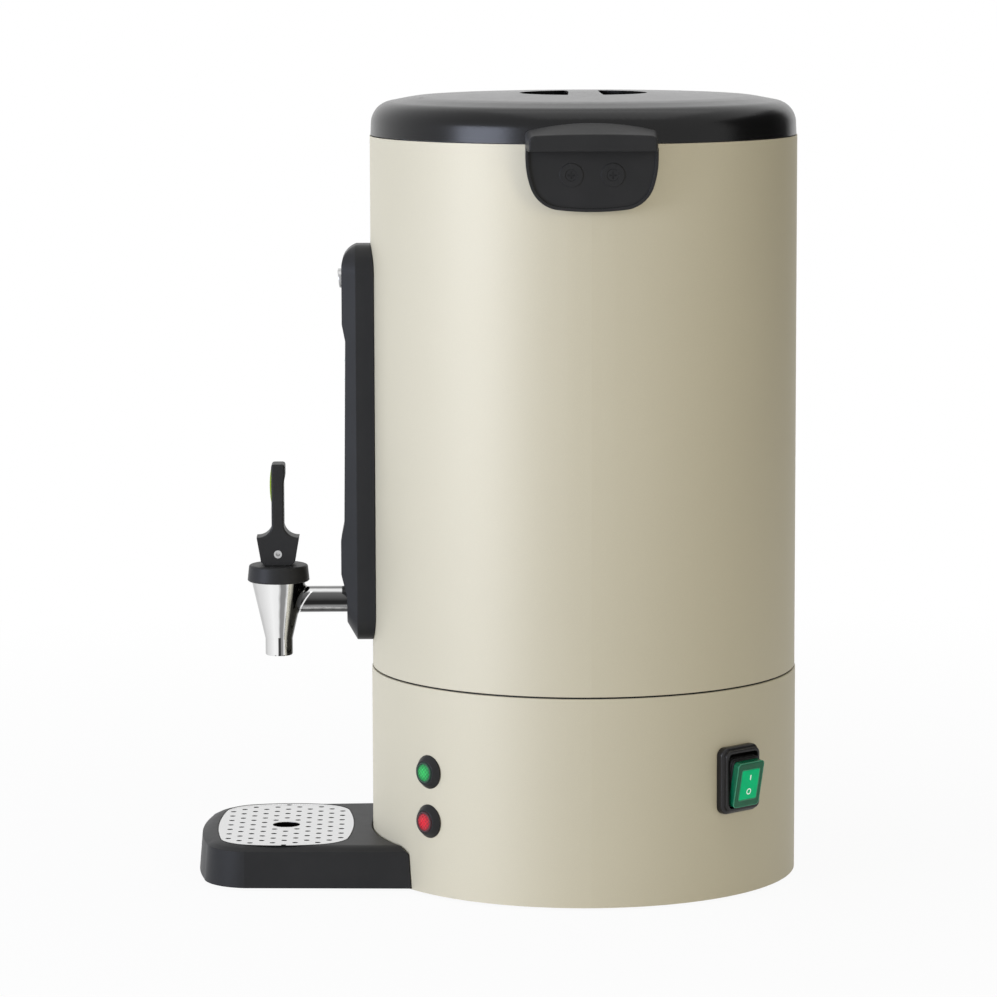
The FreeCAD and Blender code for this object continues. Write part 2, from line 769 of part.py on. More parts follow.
def rim_collar():
    body = new_body("rim_collar")
    drawn = draw(body, "ring", "plan", z=collar_bottom)
    drawn.circle(0.0, 0.0, shell_inner - s.hole_clearance)
    drawn.circle(0.0, 0.0, collar_bore)
    pad(body, "ring_pad", drawn.done(), s.collar_height)
    notches = draw(body, "notches", "plan", z=collar_bottom)
    reach = collar_bore + s.notch_depth
    notches.outline((
        (-1.0 * reach, -1.0 * s.notch_half),
        (reach, -1.0 * s.notch_half),
        (reach, s.notch_half),
        (-1.0 * reach, s.notch_half),
    ))
    cut(body, "notch_cut", notches.done(), s.collar_height)


# Heating and wiring.

def heater_plate():
    body = new_body("heater_plate")
    drawn = draw(body, "ring", "plan", z=s.vessel_floor - s.heater_thick)
    drawn.circle(0.0, 0.0, s.heater_radius)
    drawn.circle(0.0, 0.0, s.well_radius + s.vessel_wall + s.hole_clearance)
    pad(body, "plate", drawn.done(), s.heater_thick)


def element(label, ring, azimuth):
    level = s.vessel_floor - s.heater_thick - s.element_tube - 0.1
    torus = solid("Torus", f"{label}_ring", z=level, Radius1=ring, Radius2=s.element_tube)
    tails = []
    for number, turn in enumerate((azimuth - 9.0, azimuth + 9.0)):
        tails.append(solid(
            "Cylinder", f"{label}_tail_{number}",
            x=ring * cosine(turn), y=ring * sine(turn), z=level - 18.0,
            Radius=s.element_tube - 0.4, Height=18.0,
        ))
    made = fused(label, [torus, *tails])
    made.Label = label
    parts.append(made)


def sensor(label, azimuth):
    body = new_body(label)
    low = s.vessel_floor - s.sensor_height
    profile = draw(body, "profile", "side").outline((
        (0.0, low),
        (s.sensor_radius - 1.2, low),
        (s.sensor_radius - 1.2, s.vessel_floor - 4.0),
        (s.sensor_radius, s.vessel_floor - 4.0),
        (s.sensor_radius, s.vessel_floor),
        (0.0, s.vessel_floor),
    )).done()
    revolve(body, "can", profile)
    blades = draw(body, "blades", "plan", z=low)
    for middle in (-4.0, 4.0):
        blades.outline((
            (middle - 0.4, -2.4),
            (middle + 0.4, -2.4),
            (middle + 0.4, 2.4),
            (middle - 0.4, 2.4),
        ))
    pad(body, "blades_pad", blades.done(), 8.0, backwards=True)
    place(body, sensor_ring * cosine(azimuth), sensor_ring * sine(azimuth), 0.0, azimuth)


def terminal_block():
    body = new_body("terminal_block")
    half = s.block_width / 2.0
    drawn = draw(body, "base", "plan", y=block_out, z=plate_top)
    drawn.rounded_box(-1.0 * half, half, s.block_depth / -2.0, s.block_depth / 2.0, 1.5)
    pad(body, "block", drawn.done(), s.block_height)
    wells = draw(body, "wells", "plan", y=block_out, z=plate_top + s.block_height)
    for number in (-1.0, 0.0, 1.0):
        for aside in (-4.5, 4.5):
            wells.circle(number * s.block_width * 0.3, aside, 3.0)
    cut(body, "well_cut", wells.done(), s.block_height / 2.0, backwards=True)


def cord_grommet():
    body = new_body("cord_grommet")
    collar = s.grommet_radius + s.grommet_flange
    inside = on_circle(base_inner, collar) - 0.05
    profile = draw(body, "profile", "side", z=s.cord_height).outline((
        (inside - 3.5, s.cord_bore),
        (base_radius + 4.0, s.cord_bore),
        (base_radius + 4.0, collar - 2.0),
        (base_radius + 2.0, collar),
        (base_radius + 0.05, collar),
        (base_radius + 0.05, s.grommet_radius),
        (inside, s.grommet_radius),
        (inside, collar),
        (inside - 3.5, collar - 1.5),
    )).done()
    revolve(body, "rubber", profile, "H_Axis")
    place(body, turn=s.cord_angle)


# Pilot lamps.

def lamp(colour, level):
    body = new_body(f"lamp_{colour}_body")
    front = base_radius + s.bezel_proud
    back = base_radius + 0.05
    seat = front - 1.6
    profile = draw(body, "profile", "side", z=level).outline((
        (back - 25.0, 0.0),
        (seat, 0.0),
        (seat, s.lens_radius + 0.05),
        (front, s.lens_radius + 0.05),
        (front, s.bezel_front - 0.7),
        (front - 0.7, s.bezel_front),
        (back, s.bezel_radius),
        (back, s.lamp_barrel),
        (back - 25.0, s.lamp_barrel),
    )).done()
    revolve(body, "bezel", profile, "H_Axis")
    blades = draw(body, "blades", "front", x=back - 25.0, z=level)
    for middle in (-2.6, 2.6):
        blades.outline((
            (middle - 0.4, -1.4),
            (middle + 0.4, -1.4),
            (middle + 0.4, 1.4),
            (middle - 0.4, 1.4),
        ))
    pad(body, "blades_pad", blades.done(), 8.0, backwards=True)
    place(body, turn=s.lamp_angle)

    lens = new_body(f"lamp_{colour}_lens")
    crown = front + 0.9
    dome = draw(lens, "profile", "side", z=level).outline((
        (seat + 0.02, 0.0),
        (crown, 0.0),
        (front + 0.1, s.lens_radius),
        (seat + 0.02, s.lens_radius),
    ), {1: dome_radius(s.lens_radius, 0.8)}).done()
    revolve(lens, "lens", dome, "H_Axis")
    place(lens, turn=s.lamp_angle)


def dome_radius(half_width, rise):
    """Radius of an arc over a chord of that half width, at that rise."""
    return (half_width * half_width + rise * rise) / (2.0 * rise)


# Switch. Its pieces face +X and are then turned to their place round the drum.

def half_box(drawing, width, height, radius):
    half_width = width / 2.0
    half_height = height / 2.0
    return drawing.rounded_box(-1.0 * half_width, half_width, -1.0 * half_height, half_height, radius)


def switch_frame():
    body = new_body("switch_frame")
    back = base_radius - 2.0
    face = base_radius + s.frame_proud
    front = face + s.step_proud
    plate = draw(body, "plate", "front", x=back, z=s.switch_height)
    half_box(plate, s.frame_width, s.frame_height, 5.0)
    flange = pad(body, "flange", plate.done(), face - back)
    rounded(body, "flange_edge", flange, 1.9, at_out(face))
    step = draw(body, "step", "front", x=face - 0.5, z=s.switch_height)
    half_box(step, switch_opening_width + 4.0, switch_opening_height + 4.0, 4.0)
    raised = pad(body, "step_pad", step.done(), s.step_proud + 0.5)
    rounded(body, "step_edge", raised, 0.9, at_out(front))
    low = s.switch_height - s.frame_height / 2.0 - 1.0
    fit_to_drum(body, "seat", base_radius + 0.05, low, low + s.frame_height + 2.0)
    sleeve = draw(body, "sleeve", "front", x=housing_front, z=s.switch_height)
    half_box(sleeve, sleeve_width, sleeve_height, 3.0)
    pad(body, "sleeve_pad", sleeve.done(), face - 0.5 - housing_front)
    opening = draw(body, "opening", "front", x=housing_front, z=s.switch_height)
    half_box(opening, switch_opening_width, switch_opening_height, 2.5)
    cut(body, "opening_cut", opening.done(), front - housing_front + 1.0)
    place(body, turn=s.switch_angle)


def switch_housing():
    body = new_body("switch_housing")
    back = switch_pivot - 30.0
    outer = draw(body, "outer", "front", x=back, z=s.switch_height)
    half_box(outer, sleeve_width, sleeve_height, 3.0)
    pad(body, "case", outer.done(), housing_front - back)
    well = draw(body, "well", "front", x=switch_pivot - 5.6, z=s.switch_height)
    half_box(well, rocker_width + 0.8, rocker_height + 2.0, 1.0)
    cut(body, "well_cut", well.done(), housing_front - switch_pivot + 6.0)
    ears = draw(body, "ears", "front", x=housing_front - 0.5, z=s.switch_height)
    ear_inside = rocker_width / 2.0 + 0.4
    ear_outside = ear_inside + 1.8
    ear_half = s.rocker_pin + 2.2
    for near, far in ((ear_inside, ear_outside), (-1.0 * ear_outside, -1.0 * ear_inside)):
        ears.outline((
            (near, -1.0 * ear_half),
            (far, -1.0 * ear_half),
            (far, ear_half),
            (near, ear_half),
        ))
    pad(body, "ears_pad", ears.done(), switch_pivot + s.rocker_pin + 1.0 - housing_front + 0.5)
    pin = draw(body, "pin_holes", "side", x=switch_pivot, z=s.switch_height)
    pin.circle(0.0, 0.0, s.rocker_pin + 0.08)
    cut(body, "pin_cut", pin.done(), 2.0 * ear_outside + 1.0, both_sides=True)
    blades = draw(body, "blades", "front", x=back, z=s.switch_height)
    for middle in (-8.0, 0.0):
        for aside in (-5.0, 5.0):
            blades.outline((
                (aside - 2.4, middle - 0.4),
                (aside + 2.4, middle - 0.4),
                (aside + 2.4, middle + 0.4),
                (aside - 2.4, middle + 0.4),
            ))
    pad(body, "blades_pad", blades.done(), 8.0, backwards=True)
    place(body, turn=s.switch_angle)


def on_rocker(body):
    """Tips a piece that is drawn about the rocker's pin, and turns it to the switch's place."""
    turned = (
        f"placement(vector(0; 0; 0); rotation(vector(0; 0; 1); {formula_of(s.switch_angle)}))"
        f" * placement(vector({formula_of(switch_pivot)}; 0; {formula_of(s.switch_height)});"
        f" rotation(vector(0; 1; 0); {formula_of(s.rocker_tilt)}))"
    )
    body.setExpression("Placement", turned)


def rocker():
    body = new_body("rocker")
    block = half_box(draw(body, "block", "front", x=-3.0), rocker_width, rocker_height, 1.5).done()
    pad(body, "block_pad", block, s.rocker_arm - s.boot_wall - 0.2 + 3.0)
    pin = draw(body, "pin", "side").circle(0.0, 0.0, s.rocker_pin).done()
    pad(body, "pin_pad", pin, rocker_width + 3.6, both_sides=True)
    on_rocker(body)


def rocker_boot():
    body = new_body("rocker_boot")
    outer = half_box(draw(body, "outer", "front", x=boot_back), s.boot_width, s.boot_height, 2.6).done()
    shell = pad(body, "shell", outer, s.boot_depth)
    rounded(body, "edge", shell, 1.1, at_out(s.rocker_arm))
    inner = draw(body, "inner", "front", x=boot_back)
    half_box(inner, s.boot_width - 2.0 * s.boot_wall, s.boot_height - 2.0 * s.boot_wall, 1.6)
    cut(body, "hollow", inner.done(), s.boot_depth - s.boot_wall)
    on_rocker(body)


def switch_skirt():
    """The ribbed skirt behind the boot, in one piece with it, moulded in black."""
    body = new_body("switch_skirt")
    rib_proud = 0.5
    wall = 1.1
    plain_width = s.skirt_width - 2.0 * rib_proud
    plain_height = s.skirt_height - 2.0 * rib_proud
    plain = draw(body, "plain", "front", x=s.skirt_back)
    half_box(plain, plain_width, plain_height, 2.6)
    pad(body, "plain_pad", plain.done(), boot_back - s.skirt_back)
    step = (boot_back - s.skirt_back) / 5.0
    for number in (1.0, 3.0):
        rib = draw(body, f"rib_{int(number)}", "front", x=s.skirt_back + step * number)
        half_box(rib, s.skirt_width, s.skirt_height, 3.0)
        pad(body, f"rib_{int(number)}_pad", rib.done(), step)
    mouth = draw(body, "mouth", "front", x=s.skirt_back)
    half_box(mouth, s.boot_width - 2.0 * s.boot_wall, s.boot_height - 2.0 * s.boot_wall, 1.6)
    cut(body, "mouth_cut", mouth.done(), boot_back - s.skirt_back)
    hollow = draw(body, "hollow", "front", x=s.skirt_back)
    half_box(hollow, plain_width - 2.0 * wall, plain_height - 2.0 * wall, 1.6)
    cut(body, "hollow_cut", hollow.done(), boot_back - s.skirt_back - wall)
    on_rocker(body)


# Side handles. The right one is drawn; the left one is the same, turned half round.

ledge_out = s.body_radius + s.handle_reach
shield_face = s.body_radius + s.shield_out
shield_floor = shield_face - 1.2
ring_proud = 0.4
screw_face = shield_floor + ring_proud


def shield_outline(drawing, inset=0.0):
    """The handle's lower plate: straight sides, then round shoulders down to a shallow arc."""
    half = s.handle_half - inset
    top = s.ledge_bottom + 1.0
    side_low = s.shield_bottom + 30.8
    shoulder_half = half - 3.05
    shoulder = s.shield_bottom + 13.8 + 0.35 * inset
    low_half = half - 18.25
    bottom = s.shield_bottom + 1.3 + inset
    corners = (
        (half, top),
        (-1.0 * half, top),
        (-1.0 * half, side_low),
        (-1.0 * shoulder_half, shoulder),
        (-1.0 * low_half, bottom),
        (low_half, bottom),
        (shoulder_half, shoulder),
        (half, side_low),
    )
    side_arc = 55.0 - inset
    corner_arc = 19.6 - inset
    return drawing.outline(corners, {
        2: side_arc,
        3: corner_arc,
        4: dome_radius(low_half, 1.3),
        5: corner_arc,
        6: side_arc,
    })


def ledge_outline(drawing, half, corner_level, corner_in, shoulder_level, middle):
    """The handle's ledge from the front: an upper edge with round corners over a straight one."""
    return drawing.outline((
        (-1.0 * half, s.ledge_bottom),
        (half, s.ledge_bottom),
        (half, shoulder_level),
        (half - corner_in, corner_level),
        (-1.0 * (half - corner_in), corner_level),
        (-1.0 * half, shoulder_level),
    ), {2: 4.0, 3: dome_radius(half - corner_in, middle - corner_level), 4: 4.0}).done()


def side_handle(label, azimuth):
    body = new_body(label)
    root_out = on_circle(s.body_radius, s.handle_half) - 2.0
    crest_out = seat_radius + 1.6
    shield = shield_outline(draw(body, "shield", "front", x=root_out)).done()
    pad(body, "plate", shield, shield_face - root_out)
    dish = shield_outline(draw(body, "dish", "front", x=shield_floor), s.shield_rim).done()
    cut(body, "dish_cut", dish, shield_face - shield_floor)
    crest = (s.handle_half, s.crest_corner, 2.65, s.crest_corner - 3.6, s.crest_top)
    rear = ledge_outline(draw(body, "rear", "front", x=root_out), *crest)
    pad(body, "rear_pad", rear, crest_out - root_out)
    crest_line = ledge_outline(draw(body, "crest", "front", x=crest_out), *crest)
    edge = (s.ledge_half, s.ledge_edge - 0.6, 3.8, s.ledge_edge - 4.0, s.ledge_edge)
    lip = ledge_outline(draw(body, "lip", "front", x=ledge_out), *edge)
    crown = loft(body, "crown", crest_line, lip)
    rounded(body, "front_edge", crown, 1.1, at_out(ledge_out))
    rings = draw(body, "rings", "front", x=shield_floor - 1.0, z=s.handle_screw_level)
    for aside in (s.handle_screw_half, -1.0 * s.handle_screw_half):
        rings.circle(aside, 0.0, 2.0 * s.screw_head)
    pad(body, "rings_pad", rings.done(), 1.0 + ring_proud)
    hollow = draw(body, "finger_recess", "plan", z=s.ledge_bottom - 0.5)
    half = s.handle_half - s.ledge_wall - 3.0
    hollow.rounded_box(shield_face + 1.0, ledge_out - s.ledge_wall, -1.0 * half, half, 3.0)
    cut(body, "finger_cut", hollow.done(), s.ledge_edge - s.ledge_wall - s.ledge_bottom)
    holes = draw(body, "holes", "front", x=root_out, z=s.handle_screw_level)
    for aside in (s.handle_screw_half, -1.0 * s.handle_screw_half):
        holes.circle(aside, 0.0, s.screw_radius + 0.1)
    drilled = cut(body, "holes_cut", holes.done(), shield_face - root_out)
    sink = s.screw_head - s.screw_radius
    bevelled(body, "countersinks", drilled, sink, is_screw_mouth)
    fit_to_drum(body, "seat", seat_radius, s.shield_bottom - 2.0, s.crest_top + 2.0)
    place(body, turn=azimuth)


def is_screw_mouth(edge):
    """The round edges where the screw holes meet the rings on a handle's plate."""
    curve = edge.Curve
    if not isinstance(curve, Part.Circle):
        return False
    wide = abs(curve.Radius - float(s.screw_radius + 0.1)) < 0.01
    return wide and abs(curve.Center.x - float(screw_face)) < 0.01


def countersunk_screw(name, out, aside, level, length, azimuth):
    """A cross-head screw that points to the drum's axis, its head's face at a distance out."""
    head_height = s.screw_head - s.screw_radius
    x = out * cosine(azimuth) - aside * sine(azimuth)
    y = out * sine(azimuth) + aside * cosine(azimuth)
    inward = (math.sin(math.radians(azimuth)), -math.cos(math.radians(azimuth)), 0)
    where = {"x": x, "y": y, "z": level, "turn": 90.0, "axis": inward}
    head = solid(
        "Cone", f"{name}_head", Radius1=s.screw_head - 0.15, Radius2=s.screw_radius,
        Height=head_height, **where,
    )
    shank = solid("Cylinder", f"{name}_shank", Radius=s.screw_radius, Height=length, **where)
    whole = fused(f"{name}_whole", [head, shank])
    bars = []
    for number, (wide, tall) in enumerate(((4.4, 1.0), (1.0, 4.4))):
        bars.append(solid(
            "Box", f"{name}_slot_{number}", Length=2.4, Width=wide, Height=tall,
            x=(out - 1.2) * cosine(azimuth) - (aside - wide / 2.0) * sine(azimuth),
            y=(out - 1.2) * sine(azimuth) + (aside - wide / 2.0) * cosine(azimuth),
            z=level - tall / 2.0, turn=azimuth,
        ))
    return less(f"{name}_cross", whole, fused(f"{name}_slots", bars))


def handle_screws():
    screws = []
    length = screw_face - shell_inner + 4.2
    for side, azimuth in (("right", 0.0), ("left", 180.0)):
        for number, aside in enumerate((s.handle_screw_half, -1.0 * s.handle_screw_half)):
            screws.append(countersunk_screw(
                f"{side}_screw_{number}", screw_face, aside, s.handle_screw_level, length, azimuth,
            ))
    group("handle_screws", screws)


def handle_nut_plates():
    plates = []
    thick = 3.0
    face = on_circle(shell_inner, s.handle_screw_half + 7.0) - 0.1
    for side, azimuth in (("right", 0.0), ("left", 180.0)):
        half = s.handle_screw_half + 7.0
        plate = solid(
            "Box", f"{side}_nut_plate", Length=thick, Width=2.0 * half, Height=12.0,
            x=(face - thick) * cosine(azimuth) + half * sine(azimuth),
            y=(face - thick) * sine(azimuth) - half * cosine(azimuth),
            z=s.handle_screw_level - 6.0, turn=azimuth,
        )
        holes = []
        for number, aside in enumerate((s.handle_screw_half, -1.0 * s.handle_screw_half)):
            holes.append(solid(
                "Cylinder", f"{side}_nut_hole_{number}", Radius=s.screw_radius + 0.03, Height=20.0,
                x=(face + 8.0) * cosine(azimuth) - aside * sine(azimuth),
                y=(face + 8.0) * sine(azimuth) + aside * cosine(azimuth),
                z=s.handle_screw_level, turn=90.0,
                axis=(math.sin(math.radians(azimuth)), -math.cos(math.radians(azimuth)), 0),
            ))
        plates.append(less(f"{side}_nut_plate_tapped", plate, fused(f"{side}_nut_holes", holes)))
    group("handle_nut_plates", plates)


# Gauge housing and gauge. Drawn facing +X, then turned to the front.

FRONT = -90.0
fascia_screw_level = s.fascia_top - 12.5
fascia_screw_half = s.fascia_half - 13.0
gauge_out = s.body_radius + s.glass_out
gauge_inner_face = s.body_radius + s.fascia_side_out + 4.2


def fascia():
    body = new_body("fascia")
    side_out = s.body_radius + s.fascia_side_out
    root_out = on_circle(s.body_radius, s.fascia_half) - 2.0
    back = draw(body, "back", "front", x=root_out)
    back.rounded_box(-1.0 * s.fascia_half, s.fascia_half, s.fascia_bottom, s.fascia_top, s.fascia_corner)
    pad(body, "walls", back.done(), side_out - root_out)
    middle = draw(body, "middle", "front", x=side_out)
    middle.rounded_box(-1.0 * s.fascia_half, s.fascia_half, s.fascia_bottom, s.fascia_top, s.fascia_corner)
    face = draw(body, "face", "front", x=fascia_face)
    face.rounded_box(
        -1.0 * s.fascia_face_half, s.fascia_face_half,
        s.fascia_bottom + s.chin_height, s.fascia_top - 5.0, s.fascia_corner - 7.0,
    )
    crown = loft(body, "crown", middle.done(), face.done())
    rounded(body, "face_edge", crown, 1.6, at_out(fascia_face))
    brow = fascia_chest - s.brow_round
    brow_top = side_out - 1.0
    waist = fascia_face - s.waist_back
    brow_rise = on_circle(s.brow_round, brow_top - brow)
    silhouette = draw(body, "profile", "side").outline((
        (brow_top, s.fascia_top),
        (fascia_chest, s.fascia_top - brow_rise),
        (fascia_chest, s.slot_top + 19.5),
        (waist, s.slot_top + 9.0),
        (fascia_face - s.hip_back, s.slot_bottom - 1.0),
        (fascia_face, s.slot_bottom - 12.0),
        (fascia_face, s.shank_level + 17.85),
        (fascia_tap, s.shank_level + 4.0),
        (fascia_tap, s.fascia_bottom - 1.0),
        (fascia_face + 2.0, s.fascia_bottom - 1.0),
        (fascia_face + 2.0, s.fascia_top + 2.0),
        (brow_top, s.fascia_top + 2.0),
    ), {0: -1.0 * s.brow_round}).done()
    cut(body, "profile_cut", silhouette, 4.0 * s.fascia_half, both_sides=True)
    inner = draw(body, "inner", "front", x=root_out - 1.0)
    inner.rounded_box(
        -1.0 * (s.fascia_half - s.fascia_wall), s.fascia_half - s.fascia_wall,
        s.fascia_bottom + s.fascia_wall, s.fascia_top - s.fascia_wall, s.fascia_corner - s.fascia_wall,
    )
    cut(body, "hollow", inner.done(), side_out - root_out + 1.0)
    chest = draw(body, "chest", "front", x=side_out - 0.5)
    chest.rounded_box(
        -1.0 * (s.fascia_face_half - 2.0), s.fascia_face_half - 2.0,
        s.fascia_bottom + 11.0, s.fascia_top - 17.0, 4.0,
    )
    cut(body, "chest_cut", chest.done(), gauge_inner_face - side_out + 0.5)
    posts = draw(body, "posts", "front", x=root_out)
    for aside in (fascia_screw_half, -1.0 * fascia_screw_half):
        posts.circle(aside, fascia_screw_level, 4.2)
    pad(body, "posts_pad", posts.done(), side_out + 0.5 - root_out)
    pilot = draw(body, "pilot", "front", x=root_out)
    for aside in (fascia_screw_half, -1.0 * fascia_screw_half):
        pilot.circle(aside, fascia_screw_level, s.screw_radius + 0.03)
    cut(body, "pilot_cut", pilot.done(), side_out - root_out)
    slot = draw(body, "slot", "front", x=side_out)
    slot.rounded_box(-1.0 * s.slot_half, s.slot_half, s.slot_bottom, s.slot_top, s.slot_half - 0.01)
    cut(body, "slot_cut", slot.done(), s.fascia_out)
    shank = draw(body, "shank_hole", "front", x=side_out, z=s.shank_level)
    shank.circle(0.0, 0.0, seal_outside + s.hole_clearance)
    cut(body, "shank_cut", shank.done(), s.fascia_out)
    nest = draw(body, "nest", "front", x=badge_floor, z=s.badge_level)
    oval(nest, s.badge_half_width + 0.4, s.badge_half_height + 0.4)
    cut(body, "nest_cut", nest.done(), 3.0)
    fit_to_drum(body, "seat", seat_radius, s.fascia_bottom - 2.0, s.fascia_top + 2.0)
    place(body, turn=FRONT)


def oval(drawing, half_width, half_height):
    """A long oval with round ends."""
    straight = half_width - half_height
    return drawing.outline((
        (-1.0 * straight, -1.0 * half_height),
        (straight, -1.0 * half_height),
        (half_width, 0.0),
        (straight, half_height),
        (-1.0 * straight, half_height),
        (-1.0 * half_width, 0.0),
    ), {1: half_height, 2: half_height, 4: half_height, 5: half_height})


def badge_plate():
    """The oval plaque, its face leaning out at the top."""
    body = new_body("badge_plate")
    front = fascia_chest + s.badge_proud
    low = s.badge_level - s.badge_half_height
    high = s.badge_level + s.badge_half_height
    foot_shape = draw(body, "foot", "front", x=badge_floor, z=s.badge_level)
    oval(foot_shape, s.badge_half_width, s.badge_half_height)
    pad(body, "plate", foot_shape.done(), front - badge_floor)
    slope = draw(body, "slope", "side").outline((
        (front - s.badge_lean, low),
        (front + 1.0, low - 1.0),
        (front + 1.0, high + 1.0),
        (front, high),
    )).done()
    leaning = cut(body, "slope_cut", slope, 4.0 * s.badge_half_width, both_sides=True)
    rounded(
        body, "edge", leaning, 0.5,
        lambda edge: edge.BoundBox.XMin > float(front - s.badge_lean) - 0.01,
    )
    place(body, turn=FRONT)


gauge_socket = s.shank_level + s.shank_radius + 2.2
gauge_block_top = gauge_socket + 6.0
gauge_seal_radius = s.glass_radius + 0.55


def gauge_body():
    body = new_body("gauge_body")
    back = s.body_radius + 0.3
    front = gauge_inner_face - 0.3
    low = s.shank_level - s.shank_radius - 3.0
    drawn = draw(body, "block", "side").outline((
        (back, low),
        (front, low),
        (front, gauge_block_top),
        (back, gauge_block_top),
    )).done()
    pad(body, "block_pad", drawn, 20.0, both_sides=True)
    bore = draw(body, "bore", "front", x=back - 1.0, z=s.shank_level)
    bore.circle(0.0, 0.0, s.shank_radius + 0.05)
    cut(body, "bore_cut", bore.done(), front - back + 2.0)
    way = draw(body, "way", "plan", x=gauge_out, z=s.shank_level)
    way.circle(0.0, 0.0, 2.6)
    cut(body, "way_cut", way.done(), gauge_block_top - s.shank_level)
    socket = draw(body, "socket", "plan", x=gauge_out, z=gauge_socket)
    socket.circle(0.0, 0.0, gauge_seal_radius + 0.05)
    cut(body, "socket_cut", socket.done(), gauge_block_top - gauge_socket)
    place(body, turn=FRONT)


def upright_tube(label, bore, radius, low, high):
    body = new_body(label)
    drawn = draw(body, "ring", "plan", x=gauge_out, z=low)
    drawn.circle(0.0, 0.0, radius)
    drawn.circle(0.0, 0.0, bore)
    pad(body, "tube", drawn.done(), high - low)
    place(body, turn=FRONT)


def gauge_cap():
    body = new_body("gauge_cap")
    low = s.glass_top - 8.0
    back = s.body_radius + 0.3
    drawn = draw(body, "block", "plan", z=low)
    drawn.rounded_box(back, gauge_inner_face - 0.1, -9.0, 9.0, 2.0)
    pad(body, "block_pad", drawn.done(), 12.0)
    socket = draw(body, "socket", "plan", x=gauge_out, z=low)
    socket.circle(0.0, 0.0, s.glass_radius + 0.05)
    cut(body, "socket_cut", socket.done(), s.glass_top - low)
    vent = draw(body, "vent", "plan", x=gauge_out, z=low)
    vent.circle(0.0, 0.0, 1.0)
    cut(body, "vent_cut", vent.done(), 12.0)
    place(body, turn=FRONT)


def fascia_screws():
    screws = []
    azimuth = FRONT
    length = 10.0
    for number, aside in enumerate((fascia_screw_half, -1.0 * fascia_screw_half)):
        face = on_circle(shell_inner, fascia_screw_half + s.screw_head) - 0.05
        where = {
            "x": face * cosine(azimuth) - aside * sine(azimuth),
            "y": face * sine(azimuth) + aside * cosine(azimuth),
            "z": fascia_screw_level,
            "turn": 90.0,
        }
        head = solid(
            "Cylinder", f"fascia_screw_{number}_head", axis=(1, 0, 0),
            Radius=s.screw_head, Height=2.4, **dict(where, y=where["y"] + 2.4),
        )
        shank = solid(
            "Cylinder", f"fascia_screw_{number}_shank", axis=(1, 0, 0),
            Radius=s.screw_radius, Height=length, **where,
        )
        screws.append(fused(f"fascia_screw_{number}", [head, shank]))
    group("fascia_screws", screws)


# Tap. Drawn facing +X, then turned to the front.

thread_radius = s.cone_radius - 0.9
bonnet_ceiling = s.cone_top + 5.5


def cone_outside(level):
    """Outer radius of the tap's cone at a level."""
    start = s.nozzle_bottom + s.nozzle_length
    share = (level - start) / (s.cone_top - start)
    return s.nozzle_radius + (s.cone_radius - s.nozzle_radius) * share


def tap_body():
    body = new_body("tap_body")
    neck = s.nozzle_bottom + s.nozzle_length
    outside = draw(body, "outside", "side", x=tap_out).outline((
        (0.0, s.nozzle_bottom),
        (s.nozzle_radius - 0.4, s.nozzle_bottom),
        (s.nozzle_radius, s.nozzle_bottom + 0.6),
        (s.nozzle_radius, neck),
        (s.cone_radius, s.cone_top),
        (thread_radius, s.cone_top),
        (thread_radius, s.cone_top + 4.5),
        (0.0, s.cone_top + 4.5),
    )).done()
    revolve(body, "cone", outside)
    shank_end = vessel_inner - 18.0
    shank = draw(body, "shank", "front", x=shank_end, z=s.shank_level)
    shank.circle(0.0, 0.0, s.shank_radius)
    joined = pad(body, "shank_pad", shank.done(), tap_out - shank_end)
    rounded(body, "shank_fillet", joined, s.shank_fillet, is_shank_joint)
    inside = draw(body, "inside", "side", x=tap_out).outline((
        (0.0, s.nozzle_bottom - 1.0),
        (s.nozzle_bore, s.nozzle_bottom - 1.0),
        (s.nozzle_bore, s.seat_level - 5.0),
        (s.seat_bore, s.seat_level - 3.0),
        (s.seat_bore, s.seat_level),
        (cone_outside(s.seat_level) - 1.8, s.seat_level),
        (thread_radius - 1.7, s.cone_top),
        (thread_radius - 1.7, s.cone_top + 5.5),
        (0.0, s.cone_top + 5.5),
    )).done()
    groove(body, "chamber", inside)
    bore = draw(body, "bore", "front", x=shank_end - 1.0, z=s.shank_level)
    bore.circle(0.0, 0.0, s.shank_bore)
    cut(body, "bore_cut", bore.done(), tap_out - shank_end + 1.0)
    way = draw(body, "gauge_way", "plan", x=gauge_out, z=s.shank_level)
    way.circle(0.0, 0.0, 2.6)
    cut(body, "gauge_way_cut", way.done(), s.shank_radius + 1.0)
    place(body, turn=FRONT)


def is_shank_joint(edge):
    """The edge where the shank runs into the cone of the tap."""
    box = edge.BoundBox
    near = float(tap_out - s.cone_radius) - 0.5 < box.XMin
    return near and box.XMax < float(tap_out - s.nozzle_radius) and box.ZLength > 5.0


def shank_ring(label, inner, outer, start, end):
    body = new_body(label)
    drawn = draw(body, "ring", "front", x=start, z=s.shank_level)
    drawn.circle(0.0, 0.0, outer)
    drawn.circle(0.0, 0.0, inner)
    pad(body, "ring_pad", drawn.done(), end - start)
    place(body, turn=FRONT)


def tap_nut():
    body = new_body("tap_nut")
    gasket_face = on_circle(vessel_inner, s.shank_radius + 5.0) - 2.1
    drawn = draw(body, "nut", "front", x=gasket_face - 6.0, z=s.shank_level)
    drawn.hexagon(0.0, 0.0, 2.0 * s.shank_radius + 8.0)
    drawn.circle(0.0, 0.0, s.shank_radius + 0.05)
    pad(body, "nut_pad", drawn.done(), 6.0)
    place(body, turn=FRONT)


